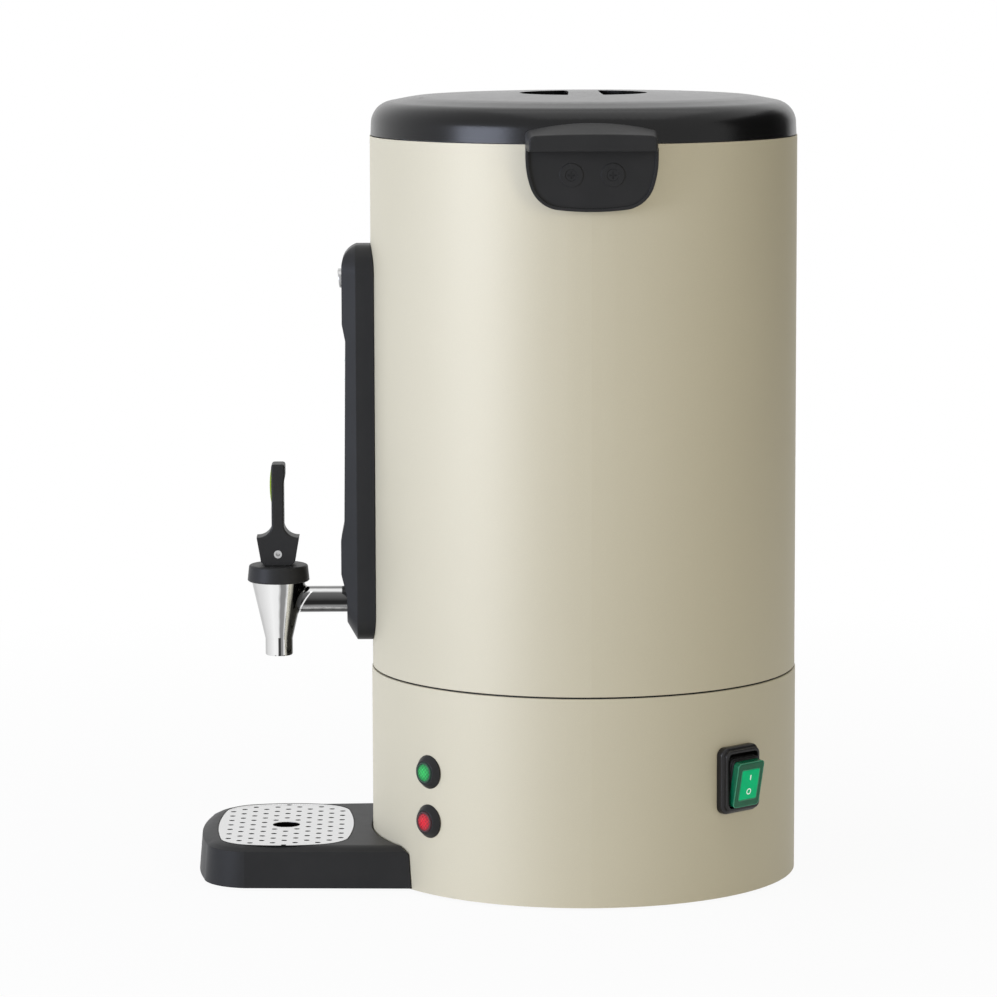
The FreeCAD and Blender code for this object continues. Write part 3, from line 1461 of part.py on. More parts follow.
def tap_bonnet():
    body = new_body("tap_bonnet")
    thread = thread_radius + 0.05
    stem_hole = s.stem_radius + s.moving_clearance
    upper = s.bonnet_radius - 1.0
    bevel = 0.7
    profile = draw(body, "profile", "side", x=tap_out).outline((
        (thread, s.cone_top),
        (s.bonnet_radius - bevel, s.cone_top),
        (s.bonnet_radius, s.cone_top + bevel),
        (upper, s.bonnet_top),
        (stem_hole, s.bonnet_top),
        (stem_hole, bonnet_ceiling),
        (thread, bonnet_ceiling),
    )).done()
    cap = revolve(body, "cap", profile)
    rounded(body, "upper_edge", cap, 1.5, at_level(s.bonnet_top, float(tap_out) - 5.0))
    place(body, turn=FRONT)


def tap_stem():
    body = new_body("tap_stem")
    rod = draw(body, "rod", "plan", x=tap_out, z=s.seat_level + 3.0)
    rod.circle(0.0, 0.0, s.stem_radius)
    pad(body, "rod_pad", rod.done(), s.bonnet_top + 1.5 - s.seat_level - 3.0)
    eye_radius = s.pin_radius + 2.2
    low = s.bonnet_top + 0.4
    eye = draw(body, "eye", "side", x=tap_out).outline((
        (-1.0 * eye_radius, low),
        (eye_radius, low),
        (eye_radius, pin_level),
        (-1.0 * eye_radius, pin_level),
    ), {2: eye_radius + 0.001}).done()
    pad(body, "eye_pad", eye, 2.0 * s.stem_radius - 0.2, both_sides=True)
    hole = draw(body, "hole", "side", x=tap_out, z=pin_level)
    hole.circle(0.0, 0.0, s.pin_radius + 0.02)
    cut(body, "hole_cut", hole.done(), 4.0 * s.stem_radius, both_sides=True)
    place(body, turn=FRONT)


def lever_pin():
    body = new_body("lever_pin")
    drawn = draw(body, "ring", "side", x=tap_out, z=pin_level)
    drawn.circle(0.0, 0.0, s.pin_radius)
    drawn.circle(0.0, 0.0, s.pin_radius - 1.2)
    pad(body, "pin", drawn.done(), s.lever_width + 0.6, both_sides=True)
    place(body, turn=FRONT)


def seat_cup():
    body = new_body("seat_cup")
    low = s.seat_level + 0.1
    top = s.seat_level + 12.0
    wide = cone_outside(s.seat_level) - 1.8 - 0.7
    profile = draw(body, "profile", "side", x=tap_out).outline((
        (0.0, low),
        (wide, low),
        (wide, s.seat_level + 6.0),
        (wide - 1.6, top),
        (s.stem_radius + 0.02, top),
        (s.stem_radius + 0.02, s.seat_level + 3.0 - 0.02),
        (0.0, s.seat_level + 3.0 - 0.02),
    )).done()
    revolve(body, "cup", profile)
    place(body, turn=FRONT)


spring_low = s.seat_level + 12.1
spring_high = bonnet_ceiling - 0.1
SPRING_TURNS = 5


def tap_spring():
    wire = 0.65
    ring = float(s.stem_radius) + 1.6
    height = float(spring_high - spring_low) - 2 * wire
    made = doc.addObject("Part::Feature", "tap_spring")
    path = Part.makeHelix(height / SPRING_TURNS, height, ring)
    section = Part.Wire(Part.makeCircle(wire, VECTOR(ring, 0, 0), VECTOR(0, 1, 0)))
    made.Shape = Part.Wire(path).makePipeShell([section], True, True)
    made.Label = "tap_spring"
    place(made, 0.0, -1.0 * tap_out, spring_low + wire)
    parts.append(made)


def tap_lever():
    """A fork over the valve stem's eye, and a blade that stands up from it."""
    body = new_body("tap_lever")
    foot_bottom = s.bonnet_top + s.seat_clearance + 0.1
    foot_top = pin_level + 10.5
    heel = foot_bottom + s.lever_foot_round
    heel_out = s.lever_half_foot - 2.3
    blade = s.lever_thick / 2.0
    neck = pin_level + 17.4
    crown = s.lever_top - 1.8
    bulge = 0.9
    profile = draw(body, "profile", "side", x=tap_out).outline((
        (-1.0 * (heel_out - s.lever_foot_round), foot_bottom),
        (heel_out - s.lever_foot_round, foot_bottom),
        (heel_out, heel),
        (s.lever_half_foot, foot_top),
        (blade, neck),
        (blade, crown),
        (blade - 1.8, s.lever_top),
        (1.8 - blade - bulge, s.lever_top),
        (-1.0 * blade - bulge, crown),
        (-1.0 * blade - bulge, crown - 6.0),
        (-1.0 * blade, crown - 10.5),
        (-1.0 * blade, neck),
        (-1.0 * s.lever_half_foot, foot_top),
        (-1.0 * heel_out, heel),
    ), {
        1: s.lever_foot_round,
        3: -9.0,
        5: 1.8,
        7: 1.8,
        11: -9.0,
        13: s.lever_foot_round,
    }).done()
    lever = pad(body, "lever", profile, s.lever_width, both_sides=True)
    rounded(body, "sides", lever, 1.2, lever_rim)
    slot_half = 8.8
    slot_mouth_half = 10.8
    slot = draw(body, "slot", "side", x=tap_out).outline((
        (-1.0 * slot_mouth_half, foot_bottom - 1.0),
        (slot_mouth_half, foot_bottom - 1.0),
        (slot_half, pin_level - 4.5),
        (slot_half, pin_level + 6.0),
        (-1.0 * slot_half, pin_level + 6.0),
        (-1.0 * slot_half, pin_level - 4.5),
    )).done()
    cut(body, "slot_cut", slot, 2.0 * s.stem_radius + 0.6, both_sides=True)
    hole = draw(body, "pin_hole", "side", x=tap_out, z=pin_level)
    hole.circle(0.0, 0.0, s.pin_radius + 0.08)
    cut(body, "pin_cut", hole.done(), 2.0 * s.lever_width, both_sides=True)
    bed = draw(body, "bed", "front", x=tap_out + blade - insert_bed)
    bed.rounded_box(-5.6, 5.6, s.insert_bottom - 0.1, s.insert_top + 0.1, 2.6)
    cut(body, "bed_cut", bed.done(), 3.0)
    place(body, turn=FRONT)


def lever_rim(edge):
    """The edges round the lever's two broad sides, above its foot."""
    box = edge.BoundBox
    half = float(s.lever_width) / 2.0
    on_side = abs(abs(edge.CenterOfMass.y) - half) < 0.01 and box.YLength < 0.01
    return on_side and box.ZMin > float(pin_level) + 10.0


insert_bed = 1.2


def lever_insert():
    """The coloured insert in the lever's front, full in the middle."""
    body = new_body("lever_insert")
    back = tap_out + s.lever_thick / 2.0 - insert_bed + 0.05
    ends = tap_out + s.lever_thick / 2.0 + 0.1
    drawn = draw(body, "insert", "front", x=back)
    drawn.rounded_box(-5.5, 5.5, s.insert_bottom, s.insert_top, 2.5)
    pad(body, "insert_pad", drawn.done(), 3.0)
    half = (s.insert_top - s.insert_bottom) / 2.0
    dome = draw(body, "dome", "side").outline((
        (ends, s.insert_bottom),
        (ends + 3.0, s.insert_bottom),
        (ends + 3.0, s.insert_top),
        (ends, s.insert_top),
    ), {3: -1.0 * dome_radius(half, 0.9)}).done()
    cut(body, "dome_cut", dome, 20.0, both_sides=True)
    place(body, turn=FRONT)


# Lid.

seal_top = s.shell_top + s.seal_height
liner_bottom = seal_top - s.liner_depth
boss_radius = 4.5
LID_SCREW_AZIMUTHS = (45.0, 135.0, 225.0, 315.0)


def lid_seal():
    body = new_body("lid_seal")
    drawn = draw(body, "ring", "plan", z=s.shell_top)
    drawn.circle(0.0, 0.0, lid_radius - s.lid_wall - 2.0)
    drawn.circle(0.0, 0.0, collar_bore + s.notch_depth + 0.4)
    pad(body, "seal", drawn.done(), s.seal_height)


def lid_cover():
    body = new_body("lid_cover")
    hub = s.grip_radius + 6.0
    shoulder = lid_top - 7.9
    crown = lid_top - 2.9
    inner_rim = lid_radius - s.lid_wall
    profile = draw(body, "profile", "side").outline((
        (0.0, lid_top),
        (0.0, seal_top + 1.4),
        (hub, seal_top + 1.4),
        (hub, lid_top - 4.3),
        (lid_radius - 27.4, crown - s.lid_wall),
        (inner_rim - 0.6, shoulder - 2.6),
        (inner_rim, lid_bottom),
        (lid_radius, lid_bottom),
        (lid_radius - 0.8, shoulder),
        (lid_radius - 27.0, crown),
    )).done()
    dome = revolve(body, "dome", profile)
    shoulder_edge = is_ring(lid_radius - 0.8, shoulder)
    crown_edge = is_ring(lid_radius - 27.0, crown)
    inner_edge = is_ring(inner_rim - 0.6, shoulder - 2.6)
    outside = rounded(body, "shoulder", dome, 14.0, shoulder_edge)
    top = rounded(body, "crown", outside, 60.0, crown_edge)
    rounded(body, "inner_shoulder", top, 11.0, inner_edge)
    recess = draw(body, "recess", "plan", z=s.grip_floor)
    end = s.grip_bar + 1.5
    reach = on_circle(s.grip_radius, end)
    waist_radius = dome_radius(reach, 1.5)
    recess.outline(((-1.0 * reach, end), (reach, end)), {0: waist_radius, 1: s.grip_radius})
    recess.outline(((reach, -1.0 * end), (-1.0 * reach, -1.0 * end)), {0: waist_radius, 1: s.grip_radius})
    cut(body, "recess_cut", recess.done(), lid_top - s.grip_floor + 1.0)
    vent = draw(body, "vent", "plan", z=seal_top)
    vent_ring = lid_radius - 28.0
    vent.circle(vent_ring * cosine(-75.0), vent_ring * sine(-75.0), 1.5)
    cut(body, "vent_cut", vent.done(), s.lid_rise)
    posts = draw(body, "posts", "plan", z=liner_bottom + s.vessel_wall)
    for azimuth in LID_SCREW_AZIMUTHS:
        posts.circle(lid_screw_ring * cosine(azimuth), lid_screw_ring * sine(azimuth), boss_radius)
    pad(body, "posts_pad", posts.done(), lid_top - 5.5 - liner_bottom)
    pilot = draw(body, "pilots", "plan", z=liner_bottom)
    for azimuth in LID_SCREW_AZIMUTHS:
        pilot.circle(lid_screw_ring * cosine(azimuth), lid_screw_ring * sine(azimuth), 1.55)
    cut(body, "pilots_cut", pilot.done(), 16.0)


def lid_liner():
    body = new_body("lid_liner")
    sheet_thick = s.vessel_wall
    inner = liner_radius - sheet_thick
    profile = draw(body, "profile", "side").outline((
        (0.0, liner_bottom),
        (liner_radius, liner_bottom),
        (liner_radius, seal_top),
        (lid_radius - s.lid_wall - 1.6, seal_top),
        (lid_radius - s.lid_wall - 1.6, seal_top + sheet_thick),
        (inner, seal_top + sheet_thick),
        (inner, liner_bottom + sheet_thick),
        (0.0, liner_bottom + sheet_thick),
    )).done()
    dish = revolve(body, "dish", profile)
    rounded(body, "bend", dish, 2.0, is_ring(liner_radius, liner_bottom))
    lug_top = collar_bottom - s.lug_gap
    lug_out = collar_bore + s.notch_depth - s.lug_gap
    lugs = draw(body, "lugs", "plan", z=lug_top - 3.0)
    outer = on_circle(lug_out, s.lug_half)
    root_out = on_circle(liner_radius, s.lug_half) - 0.4
    for sign in (1.0, -1.0):
        lugs.outline((
            (sign * root_out, sign * -1.0 * s.lug_half),
            (sign * outer, sign * -1.0 * s.lug_half),
            (sign * outer, sign * s.lug_half),
            (sign * root_out, sign * s.lug_half),
        ), {1: lug_out})
    pad(body, "lugs_pad", lugs.done(), 3.0)
    inside = draw(body, "inside", "plan", z=liner_bottom + sheet_thick).circle(0.0, 0.0, inner).done()
    cut(body, "inside_cut", inside, s.liner_depth)
    holes = draw(body, "holes", "plan", z=liner_bottom - 0.5)
    for azimuth in LID_SCREW_AZIMUTHS:
        holes.circle(lid_screw_ring * cosine(azimuth), lid_screw_ring * sine(azimuth), 1.7)
    cut(body, "holes_cut", holes.done(), sheet_thick + 1.0)


def lid_screws():
    body = new_body("lid_screws")
    heads = draw(body, "heads", "plan", z=liner_bottom)
    shanks = draw(body, "shanks", "plan", z=liner_bottom - 0.5)
    for azimuth in LID_SCREW_AZIMUTHS:
        middle = (lid_screw_ring * cosine(azimuth), lid_screw_ring * sine(azimuth))
        heads.circle(*middle, 3.0)
        shanks.circle(*middle, 1.5)
    pad(body, "heads_pad", heads.done(), 2.0, backwards=True)
    pad(body, "shanks_pad", shanks.done(), 14.0)


# Percolator.

stem_collar = s.basket_bottom - 2.0


def riser_tube():
    body = new_body("riser_tube")
    low = well_inside + 4.0
    profile = draw(body, "profile", "side").outline((
        (s.riser_bore, low),
        (s.riser_radius, low),
        (s.riser_radius, stem_collar - 5.0),
        (s.riser_radius + 7.0, stem_collar),
        (s.riser_radius + 7.0, s.basket_bottom),
        (s.riser_radius, s.basket_bottom),
        (s.riser_radius, s.riser_top),
        (s.riser_bore, s.riser_top),
    )).done()
    revolve(body, "tube", profile)


def pump_foot():
    body = new_body("pump_foot")
    low = well_inside + 0.1
    sheet_thick = 1.0
    throat = s.riser_radius + 0.05
    profile = draw(body, "profile", "side").outline((
        (s.foot_dome - sheet_thick, low),
        (s.foot_dome, low),
        (s.foot_dome, low + 3.0),
        (throat + 3.0, low + 20.0),
        (throat + 1.0, low + 30.0),
        (throat, low + 30.0),
        (throat, low + 18.5),
        (s.foot_dome - sheet_thick, low + 2.5),
    )).done()
    revolve(body, "dome", profile)
    ports = draw(body, "ports", "side", z=low)
    ports.outline(((-3.0, -1.0), (3.0, -1.0), (3.0, 1.6), (-3.0, 1.6)))
    cut(body, "ports_cut", ports.done(), 3.0 * s.foot_dome, both_sides=True)


sleeve_bore = s.riser_radius + s.moving_clearance
basket_top = s.basket_bottom + s.basket_height


def coffee_basket():
    body = new_body("coffee_basket")
    wall = s.basket_wall
    profile = draw(body, "profile", "side").outline((
        (sleeve_bore, s.basket_bottom),
        (s.basket_radius, s.basket_bottom),
        (s.basket_radius, basket_top - wall),
        (s.basket_radius + 3.0, basket_top - wall),
        (s.basket_radius + 3.0, basket_top),
        (s.basket_radius - wall, basket_top),
        (s.basket_radius - wall, s.basket_bottom + wall),
        (sleeve_bore + wall, s.basket_bottom + wall),
        (sleeve_bore + wall, basket_top + 2.0),
        (sleeve_bore, basket_top + 2.0),
    )).done()
    pan = revolve(body, "pan", profile)
    rounded(body, "bend", pan, wall * 0.9, is_ring(s.basket_radius, s.basket_bottom))
    for number, (ring, count) in enumerate(((0.3, 14), (0.5, 22), (0.7, 30), (0.88, 38))):
        hole = draw(body, f"hole_{number}", "plan", x=s.basket_radius * ring, z=s.basket_bottom - 0.5)
        hole.circle(0.0, 0.0, 1.6)
        drilled = cut(body, f"hole_{number}_cut", hole.done(), wall + 1.0)
        pattern = body.newObject("PartDesign::PolarPattern", f"basket_ring_{number}")
        pattern.Originals = [drilled]
        pattern.Axis = (axis_of(body, "Z_Axis"), [""])
        pattern.Angle = 360.0
        pattern.Occurrences = count
        body.Tip = pattern


def axis_of(body, role):
    return next(f for f in body.Origin.OriginFeatures if f.Role == role)


def basket_cover():
    body = new_body("basket_cover")
    wall = s.basket_wall
    bore = sleeve_bore + wall + s.moving_clearance
    rim = s.basket_radius + 3.0
    profile = draw(body, "profile", "side").outline((
        (bore, basket_top + 3.0),
        (bore + 14.0, basket_top + 3.0),
        (bore + 20.0, basket_top),
        (rim, basket_top),
        (rim, basket_top + wall),
        (bore + 20.2, basket_top + wall),
        (bore + 14.2, basket_top + 3.0 + wall),
        (bore, basket_top + 3.0 + wall),
    )).done()
    revolve(body, "disc", profile)
    for number, (ring, count) in enumerate(((0.5, 18), (0.8, 30))):
        hole = draw(body, f"hole_{number}", "plan", x=s.basket_radius * ring, z=basket_top - 0.5)
        hole.circle(0.0, 0.0, 1.6)
        drilled = cut(body, f"hole_{number}_cut", hole.done(), wall + 1.0)
        pattern = body.newObject("PartDesign::PolarPattern", f"cover_ring_{number}")
        pattern.Originals = [drilled]
        pattern.Axis = (axis_of(body, "Z_Axis"), [""])
        pattern.Angle = 360.0
        pattern.Occurrences = count
        body.Tip = pattern


# Drip tray. Drawn facing +X, then turned to the front.

tray_back = base_radius + s.moving_clearance


def tray_outline(drawing, inset=0.0):
    """The tray seen from above: sides that draw in a little, round corners and a bowed front."""
    back = on_circle(tray_back, tray_half) - 4.0
    half_back = tray_half - inset
    half_front = tray_half - 4.8 - inset
    shoulder = tray_front - s.tray_bow - inset
    corner_out = tray_front - s.tray_bow - 26.0
    corner_half = tray_half - 4.8 - 28.2 - 0.2 * inset
    return drawing.outline((
        (back, -1.0 * half_back),
        (corner_out, -1.0 * half_front),
        (shoulder, -1.0 * corner_half),
        (shoulder, corner_half),
        (corner_out, half_front),
        (back, half_back),
    ), {
        1: s.tray_corner - inset,
        2: dome_radius(corner_half, s.tray_bow),
        3: s.tray_corner - inset,
    }).done()


def tray_body():
    body = new_body("tray_body")
    foot_line = tray_outline(draw(body, "foot", "plan", z=s.tray_foot))
    crease = tray_outline(draw(body, "crease", "plan", z=s.tray_crease), s.tray_lean)
    loft(body, "walls", foot_line, crease)
    shoulder = tray_outline(draw(body, "shoulder", "plan", z=s.tray_crease), s.tray_lean)
    rim = tray_outline(draw(body, "rim", "plan", z=s.tray_top), s.tray_lean + s.tray_shoulder)
    block = loft(body, "top", shoulder, rim)
    rounded(body, "upper_edge", block, 12.0, tray_upper_edge)
    seat = draw(body, "seat", "plan", z=s.tray_top - s.grate_sheet - 0.2)
    grate_outline(seat, 0.4).done()
    cut(body, "grate_seat", seat.drawn, s.grate_sheet + 1.0)
    well = draw(body, "well", "plan", z=s.tray_foot + s.tray_floor)
    grate_outline(well, -3.5).done()
    cut(body, "well_cut", well.drawn, s.tray_top)
    pads = draw(body, "pads", "plan", x=grate_out)
    for x in (-30.0, 30.0):
        for y in (-50.0, 50.0):
            pads.circle(x, y, 6.0)
    pad(body, "pads_pad", pads.done(), s.tray_foot)
    fitted = fit_to_drum(body, "drum_side", tray_back, -1.0, s.tray_top + 1.0)
    rounded(body, "drum_edge", fitted, 1.5, tray_drum_edge)
    place(body, turn=FRONT)


def tray_upper_edge(edge):
    """The upper edge of the tray's sides and front, not the one towards the drum."""
    level = at_level(s.tray_top)(edge)
    back = float(on_circle(tray_back, tray_half)) - 4.0
    return level and edge.BoundBox.XMax > back + 1.0


def tray_drum_edge(edge):
    """The tray's upper edge along the drum."""
    level = at_level(s.tray_top)(edge)
    curve = edge.Curve
    return level and isinstance(curve, Part.Circle) and abs(curve.Radius - float(tray_back)) < 0.01


def grate_outline(drawing, grow=0.0):
    """The grate's outline, its sides bowed and its corners round, made larger by a margin."""
    half = s.grate_half + grow
    half_depth = s.grate_half_depth + grow
    side_bow = 2.5
    side_half = 20.0 + 0.25 * grow
    end_bow = 3.3
    end_half = 45.0 + 0.15 * grow
    corner = s.grate_corner + grow
    side = half - side_bow
    end = half_depth - end_bow
    middle = grate_out
    side_arc = dome_radius(side_half, side_bow)
    end_arc = dome_radius(end_half, end_bow)
    return drawing.outline((
        (middle - side_half, -1.0 * side),
        (middle + side_half, -1.0 * side),
        (middle + end, -1.0 * end_half),
        (middle + end, end_half),
        (middle + side_half, side),
        (middle - side_half, side),
        (middle - end, end_half),
        (middle - end, -1.0 * end_half),
    ), {
        0: side_arc,
        1: corner,
        2: end_arc,
        3: corner,
        4: side_arc,
        5: corner,
        6: end_arc,
        7: corner,
    })


def tray_grate():
    body = new_body("tray_grate")
    low = s.tray_top - s.grate_sheet - 0.2
    plan = grate_outline(draw(body, "plan", "plan", z=low)).done()
    pad(body, "sheet", plan, s.grate_sheet)
    holes = draw(body, "holes", "plan", x=grate_out, z=low - 0.5)
    holes.circle(0.0, 0.0, s.drain_radius)
    rows = int(float(s.grate_half / s.row_pitch))
    along = int(float(s.grate_half_depth / s.hole_pitch)) + 1
    for row in range(-rows, rows + 1):
        shift = 0.0 if row % 2 else 0.5
        for step in range(-along, along + 1):
            x = (step + shift) * s.hole_pitch
            y = row * s.row_pitch
            if grate_takes_hole(float(x), float(y)):
                holes.circle(x, y, s.hole_radius)
    cut(body, "holes_cut", holes.done(), s.grate_sheet + 1.0)
    place(body, turn=FRONT)


def grate_takes_hole(x, y):
    """Room for a small hole: clear of the drain and of the grate's bowed and rounded rim."""
    clear_of_drain = math.hypot(x, y) > float(s.drain_radius + s.hole_radius) + 1.0
    share_x = abs(x) / (float(s.grate_half_depth) - 4.6)
    share_y = abs(y) / (float(s.grate_half) - 3.0)
    return clear_of_drain and share_x ** 3.6 + share_y ** 3.6 < 1.0


base_shell()
base_plate()
for foot_name, foot_azimuth in FOOT_AZIMUTHS.items():
    foot(foot_name, foot_azimuth)
tie_rods()
tie_nuts()
seam_gasket()
outer_shell()
inner_vessel()
rim_collar()
heater_plate()
element("boiling_element", s.boil_ring, 0.0)
element("keep_warm_element", s.warm_ring, 180.0)
sensor("thermostat", 60.0)
sensor("boil_dry_cutout", -60.0)
terminal_block()
cord_grommet()
lamp("green", s.green_lamp_height)
lamp("red", s.red_lamp_height)
switch_frame()
switch_housing()
rocker()
rocker_boot()
switch_skirt()
side_handle("handle_right", 0.0)
side_handle("handle_left", 180.0)
handle_screws()
handle_nut_plates()
fascia()
badge_plate()
gauge_body()
upright_tube("gauge_seal", s.glass_radius + 0.05, gauge_seal_radius, gauge_socket, gauge_block_top)
upright_tube("sight_glass", s.glass_bore, s.glass_radius, gauge_socket, s.glass_top)
gauge_cap()
fascia_screws()
tap_body()
shank_ring(
    "tap_seal", s.shank_radius + 0.05, seal_outside,
    gauge_inner_face + 0.1, fascia_tap - 0.4,
)
shank_ring(
    "tap_gasket", s.shank_radius + 0.05, s.shank_radius + 5.0,
    on_circle(vessel_inner, s.shank_radius + 5.0) - 2.05,
    on_circle(vessel_inner, s.shank_radius + 5.0) - 0.05,
)
tap_nut()
tap_bonnet()
tap_stem()
lever_pin()
seat_cup()
tap_spring()
tap_lever()
lever_insert()
lid_seal()
lid_cover()
lid_liner()
lid_screws()
riser_tube()
pump_foot()
coffee_basket()
basket_cover()
tray_body()
tray_grate()

doc.recompute()

# Every object is checked before a file is written.

for thing in doc.Objects:
    if "Invalid" in thing.State or "Error" in thing.State:
        raise ValueError(f"{thing.Name} failed: {thing.State}")
for part in parts:
    if part.Shape.isNull() or not part.Shape.isValid():
        raise ValueError(f"{part.Label} has no valid shape")

os.makedirs("parts", exist_ok=True)
for part in parts:
    part.Shape.exportStep(f"parts/{part.Label}.step")
    box = part.Shape.BoundBox
    print(
        f"{part.Label}: {len(part.Shape.Solids)} solid, {part.Shape.Volume / 1000:.2f} cm3, "
        f"z {box.ZMin:.1f} to {box.ZMax:.1f}"
    )
print(len(parts), "pieces")
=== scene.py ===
# %% [markdown]
# # A coffee urn with a tap, dressed in Blender
# The urn's solids come from its construction model: each one already has its true size and
# place. This lesson gives them their finishes, adds the small repeated things that a solid
# leaves out, and sets up a plain studio. Every cell does one step and prints what it made.

# %% Load the frame
import math

import bmesh
import bpy
from mathutils import Matrix, Vector


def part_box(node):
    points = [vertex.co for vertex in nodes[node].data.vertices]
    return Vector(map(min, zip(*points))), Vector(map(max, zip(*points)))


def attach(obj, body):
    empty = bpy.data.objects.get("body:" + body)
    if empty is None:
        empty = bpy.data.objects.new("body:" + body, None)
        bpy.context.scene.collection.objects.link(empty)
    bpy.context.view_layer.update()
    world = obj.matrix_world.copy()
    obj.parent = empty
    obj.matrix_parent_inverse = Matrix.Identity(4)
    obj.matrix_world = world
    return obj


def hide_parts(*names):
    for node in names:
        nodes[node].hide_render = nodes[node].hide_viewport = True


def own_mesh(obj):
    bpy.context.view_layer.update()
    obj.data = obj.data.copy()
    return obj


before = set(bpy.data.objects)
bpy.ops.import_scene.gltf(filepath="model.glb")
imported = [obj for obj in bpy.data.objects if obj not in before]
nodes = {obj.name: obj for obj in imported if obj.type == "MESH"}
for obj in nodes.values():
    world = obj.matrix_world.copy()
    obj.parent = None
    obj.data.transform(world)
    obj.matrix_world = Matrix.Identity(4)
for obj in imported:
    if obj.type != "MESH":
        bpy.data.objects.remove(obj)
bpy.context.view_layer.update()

# %% [markdown]
# ## The camera
# The camera comes first, because it decides which details are seen. A long lens far away keeps
# the drum's sides nearly parallel. It stands a little higher than the lid and looks slightly
# down, which turns the drum's seam and the tray's rim into shallow curves. The matrix is put
# together from the three axes of the view, so nothing has to be turned by trial.


# %% Camera
def added(name, data):
    """Puts a new object into the scene."""
    made = bpy.data.objects.new(name, data)
    bpy.context.scene.collection.objects.link(made)
    return made


camera_data = bpy.data.cameras.new("urn_view")
camera = added("urn_view", camera_data)
pitch = math.radians(7.3418)
yaw = math.radians(1.0656)
roll = math.radians(-0.1668)
ahead = Vector((
    -math.cos(pitch) * math.cos(yaw),
    math.cos(pitch) * math.sin(yaw),
    -math.sin(pitch),
))
level_right = ahead.cross(Vector((0, 0, 1))).normalized()
level_up = level_right.cross(ahead)
right = math.cos(roll) * level_right + math.sin(roll) * level_up
up = -math.sin(roll) * level_right + math.cos(roll) * level_up
view = Matrix((right, up, -ahead)).transposed().to_4x4()
view.translation = Vector((2.7446, -0.1043, 0.5878))
camera.matrix_world = view
camera_data.sensor_width = 36.0
camera_data.lens = 159.48
camera_data.clip_start = 0.05
bpy.context.scene.camera = camera
print("lens", camera_data.lens, "mm at", tuple(round(c, 3) for c in view.translation))

# %% [markdown]
# ## Node trees as written expressions
# A finish is a small sum: colour plus a little noise, roughness minus a little wear. Wiring each
# sum by hand hides the idea, so one class stands for a wire of a tree. Adding or multiplying
# wires makes the Math node that does it. The same class serves shader trees and geometry trees.


# %% Wires and trees
class Wire:
    """An output socket that can be used in a sum."""

    def __init__(self, tree, socket):
        self.tree = tree
        self.socket = socket

    def __add__(self, other):
        return self.tree.sum("ADD", self, other)

    def __radd__(self, other):
        return self.tree.sum("ADD", other, self)

    def __sub__(self, other):
        return self.tree.sum("SUBTRACT", self, other)

    def __rsub__(self, other):
        return self.tree.sum("SUBTRACT", other, self)

    def __mul__(self, other):
        return self.tree.sum("MULTIPLY", self, other)

    def __rmul__(self, other):
        return self.tree.sum("MULTIPLY", other, self)

    def __truediv__(self, other):
        return self.tree.sum("DIVIDE", self, other)

    def __pow__(self, other):
        return self.tree.sum("POWER", self, other)

    def __gt__(self, other):
        return self.tree.sum("GREATER_THAN", self, other)

    def __lt__(self, other):
        return self.tree.sum("LESS_THAN", self, other)

    def __abs__(self):
        return self.tree.sum("ABSOLUTE", self)


class Tree:
    """A node tree with one method that adds any node and one that writes a sum."""

    def __init__(self, node_tree):
        self.node_tree = node_tree

    def node(self, kind, sockets=None, out=0, **settings):
        """Adds a node, sets it, feeds its sockets and returns one of its outputs."""
        made = self.node_tree.nodes.new(kind)
        for name, value in settings.items():
            if name == "stops":
                self.set_stops(made.color_ramp, value)
            else:
                setattr(made, name, value)
        for name, value in (sockets or {}).items():
            self.feed(made.inputs[name], value)
        return Wire(self, made.outputs[out])

    def feed(self, socket, value):
        if isinstance(value, Wire):
            self.node_tree.links.new(value.socket, socket)
        else:
            socket.default_value = value

    def set_stops(self, ramp, stops):
        """Stops are pairs of a place from 0 to 1 and a grey tone."""
        ramp.elements.remove(ramp.elements[1])
        ramp.elements[0].position = stops[0][0]
        for place, _ in stops[1:]:
            ramp.elements.new(place)
        for element, (_, tone) in zip(ramp.elements, stops):
            element.color = (tone, tone, tone, 1.0)

    def sum(self, operation, *terms):
        return self.node("ShaderNodeMath", dict(enumerate(terms)), operation=operation)


print("a wire can be added, subtracted, multiplied, divided, raised and compared")

# %% [markdown]
# ## A finish and its habits
# Every finish starts from the Principled shader. What is the same all over is a plain number on
# its socket; only what changes over the surface is wired. All patterns are read from the
# object's own coordinates, in metres, so grain has its real size on a small screw and on the
# large drum, and it stays in place when a piece moves.


# %% Finishes
MM = 0.001
finishes = {}
SOCKETS = {
    "metallic": "Metallic", "specular_level": "Specular IOR Level", "ior": "IOR",
    "coat_weight": "Coat Weight", "coat_roughness": "Coat Roughness",
    "transmission_weight": "Transmission Weight", "emission_strength": "Emission Strength",
}


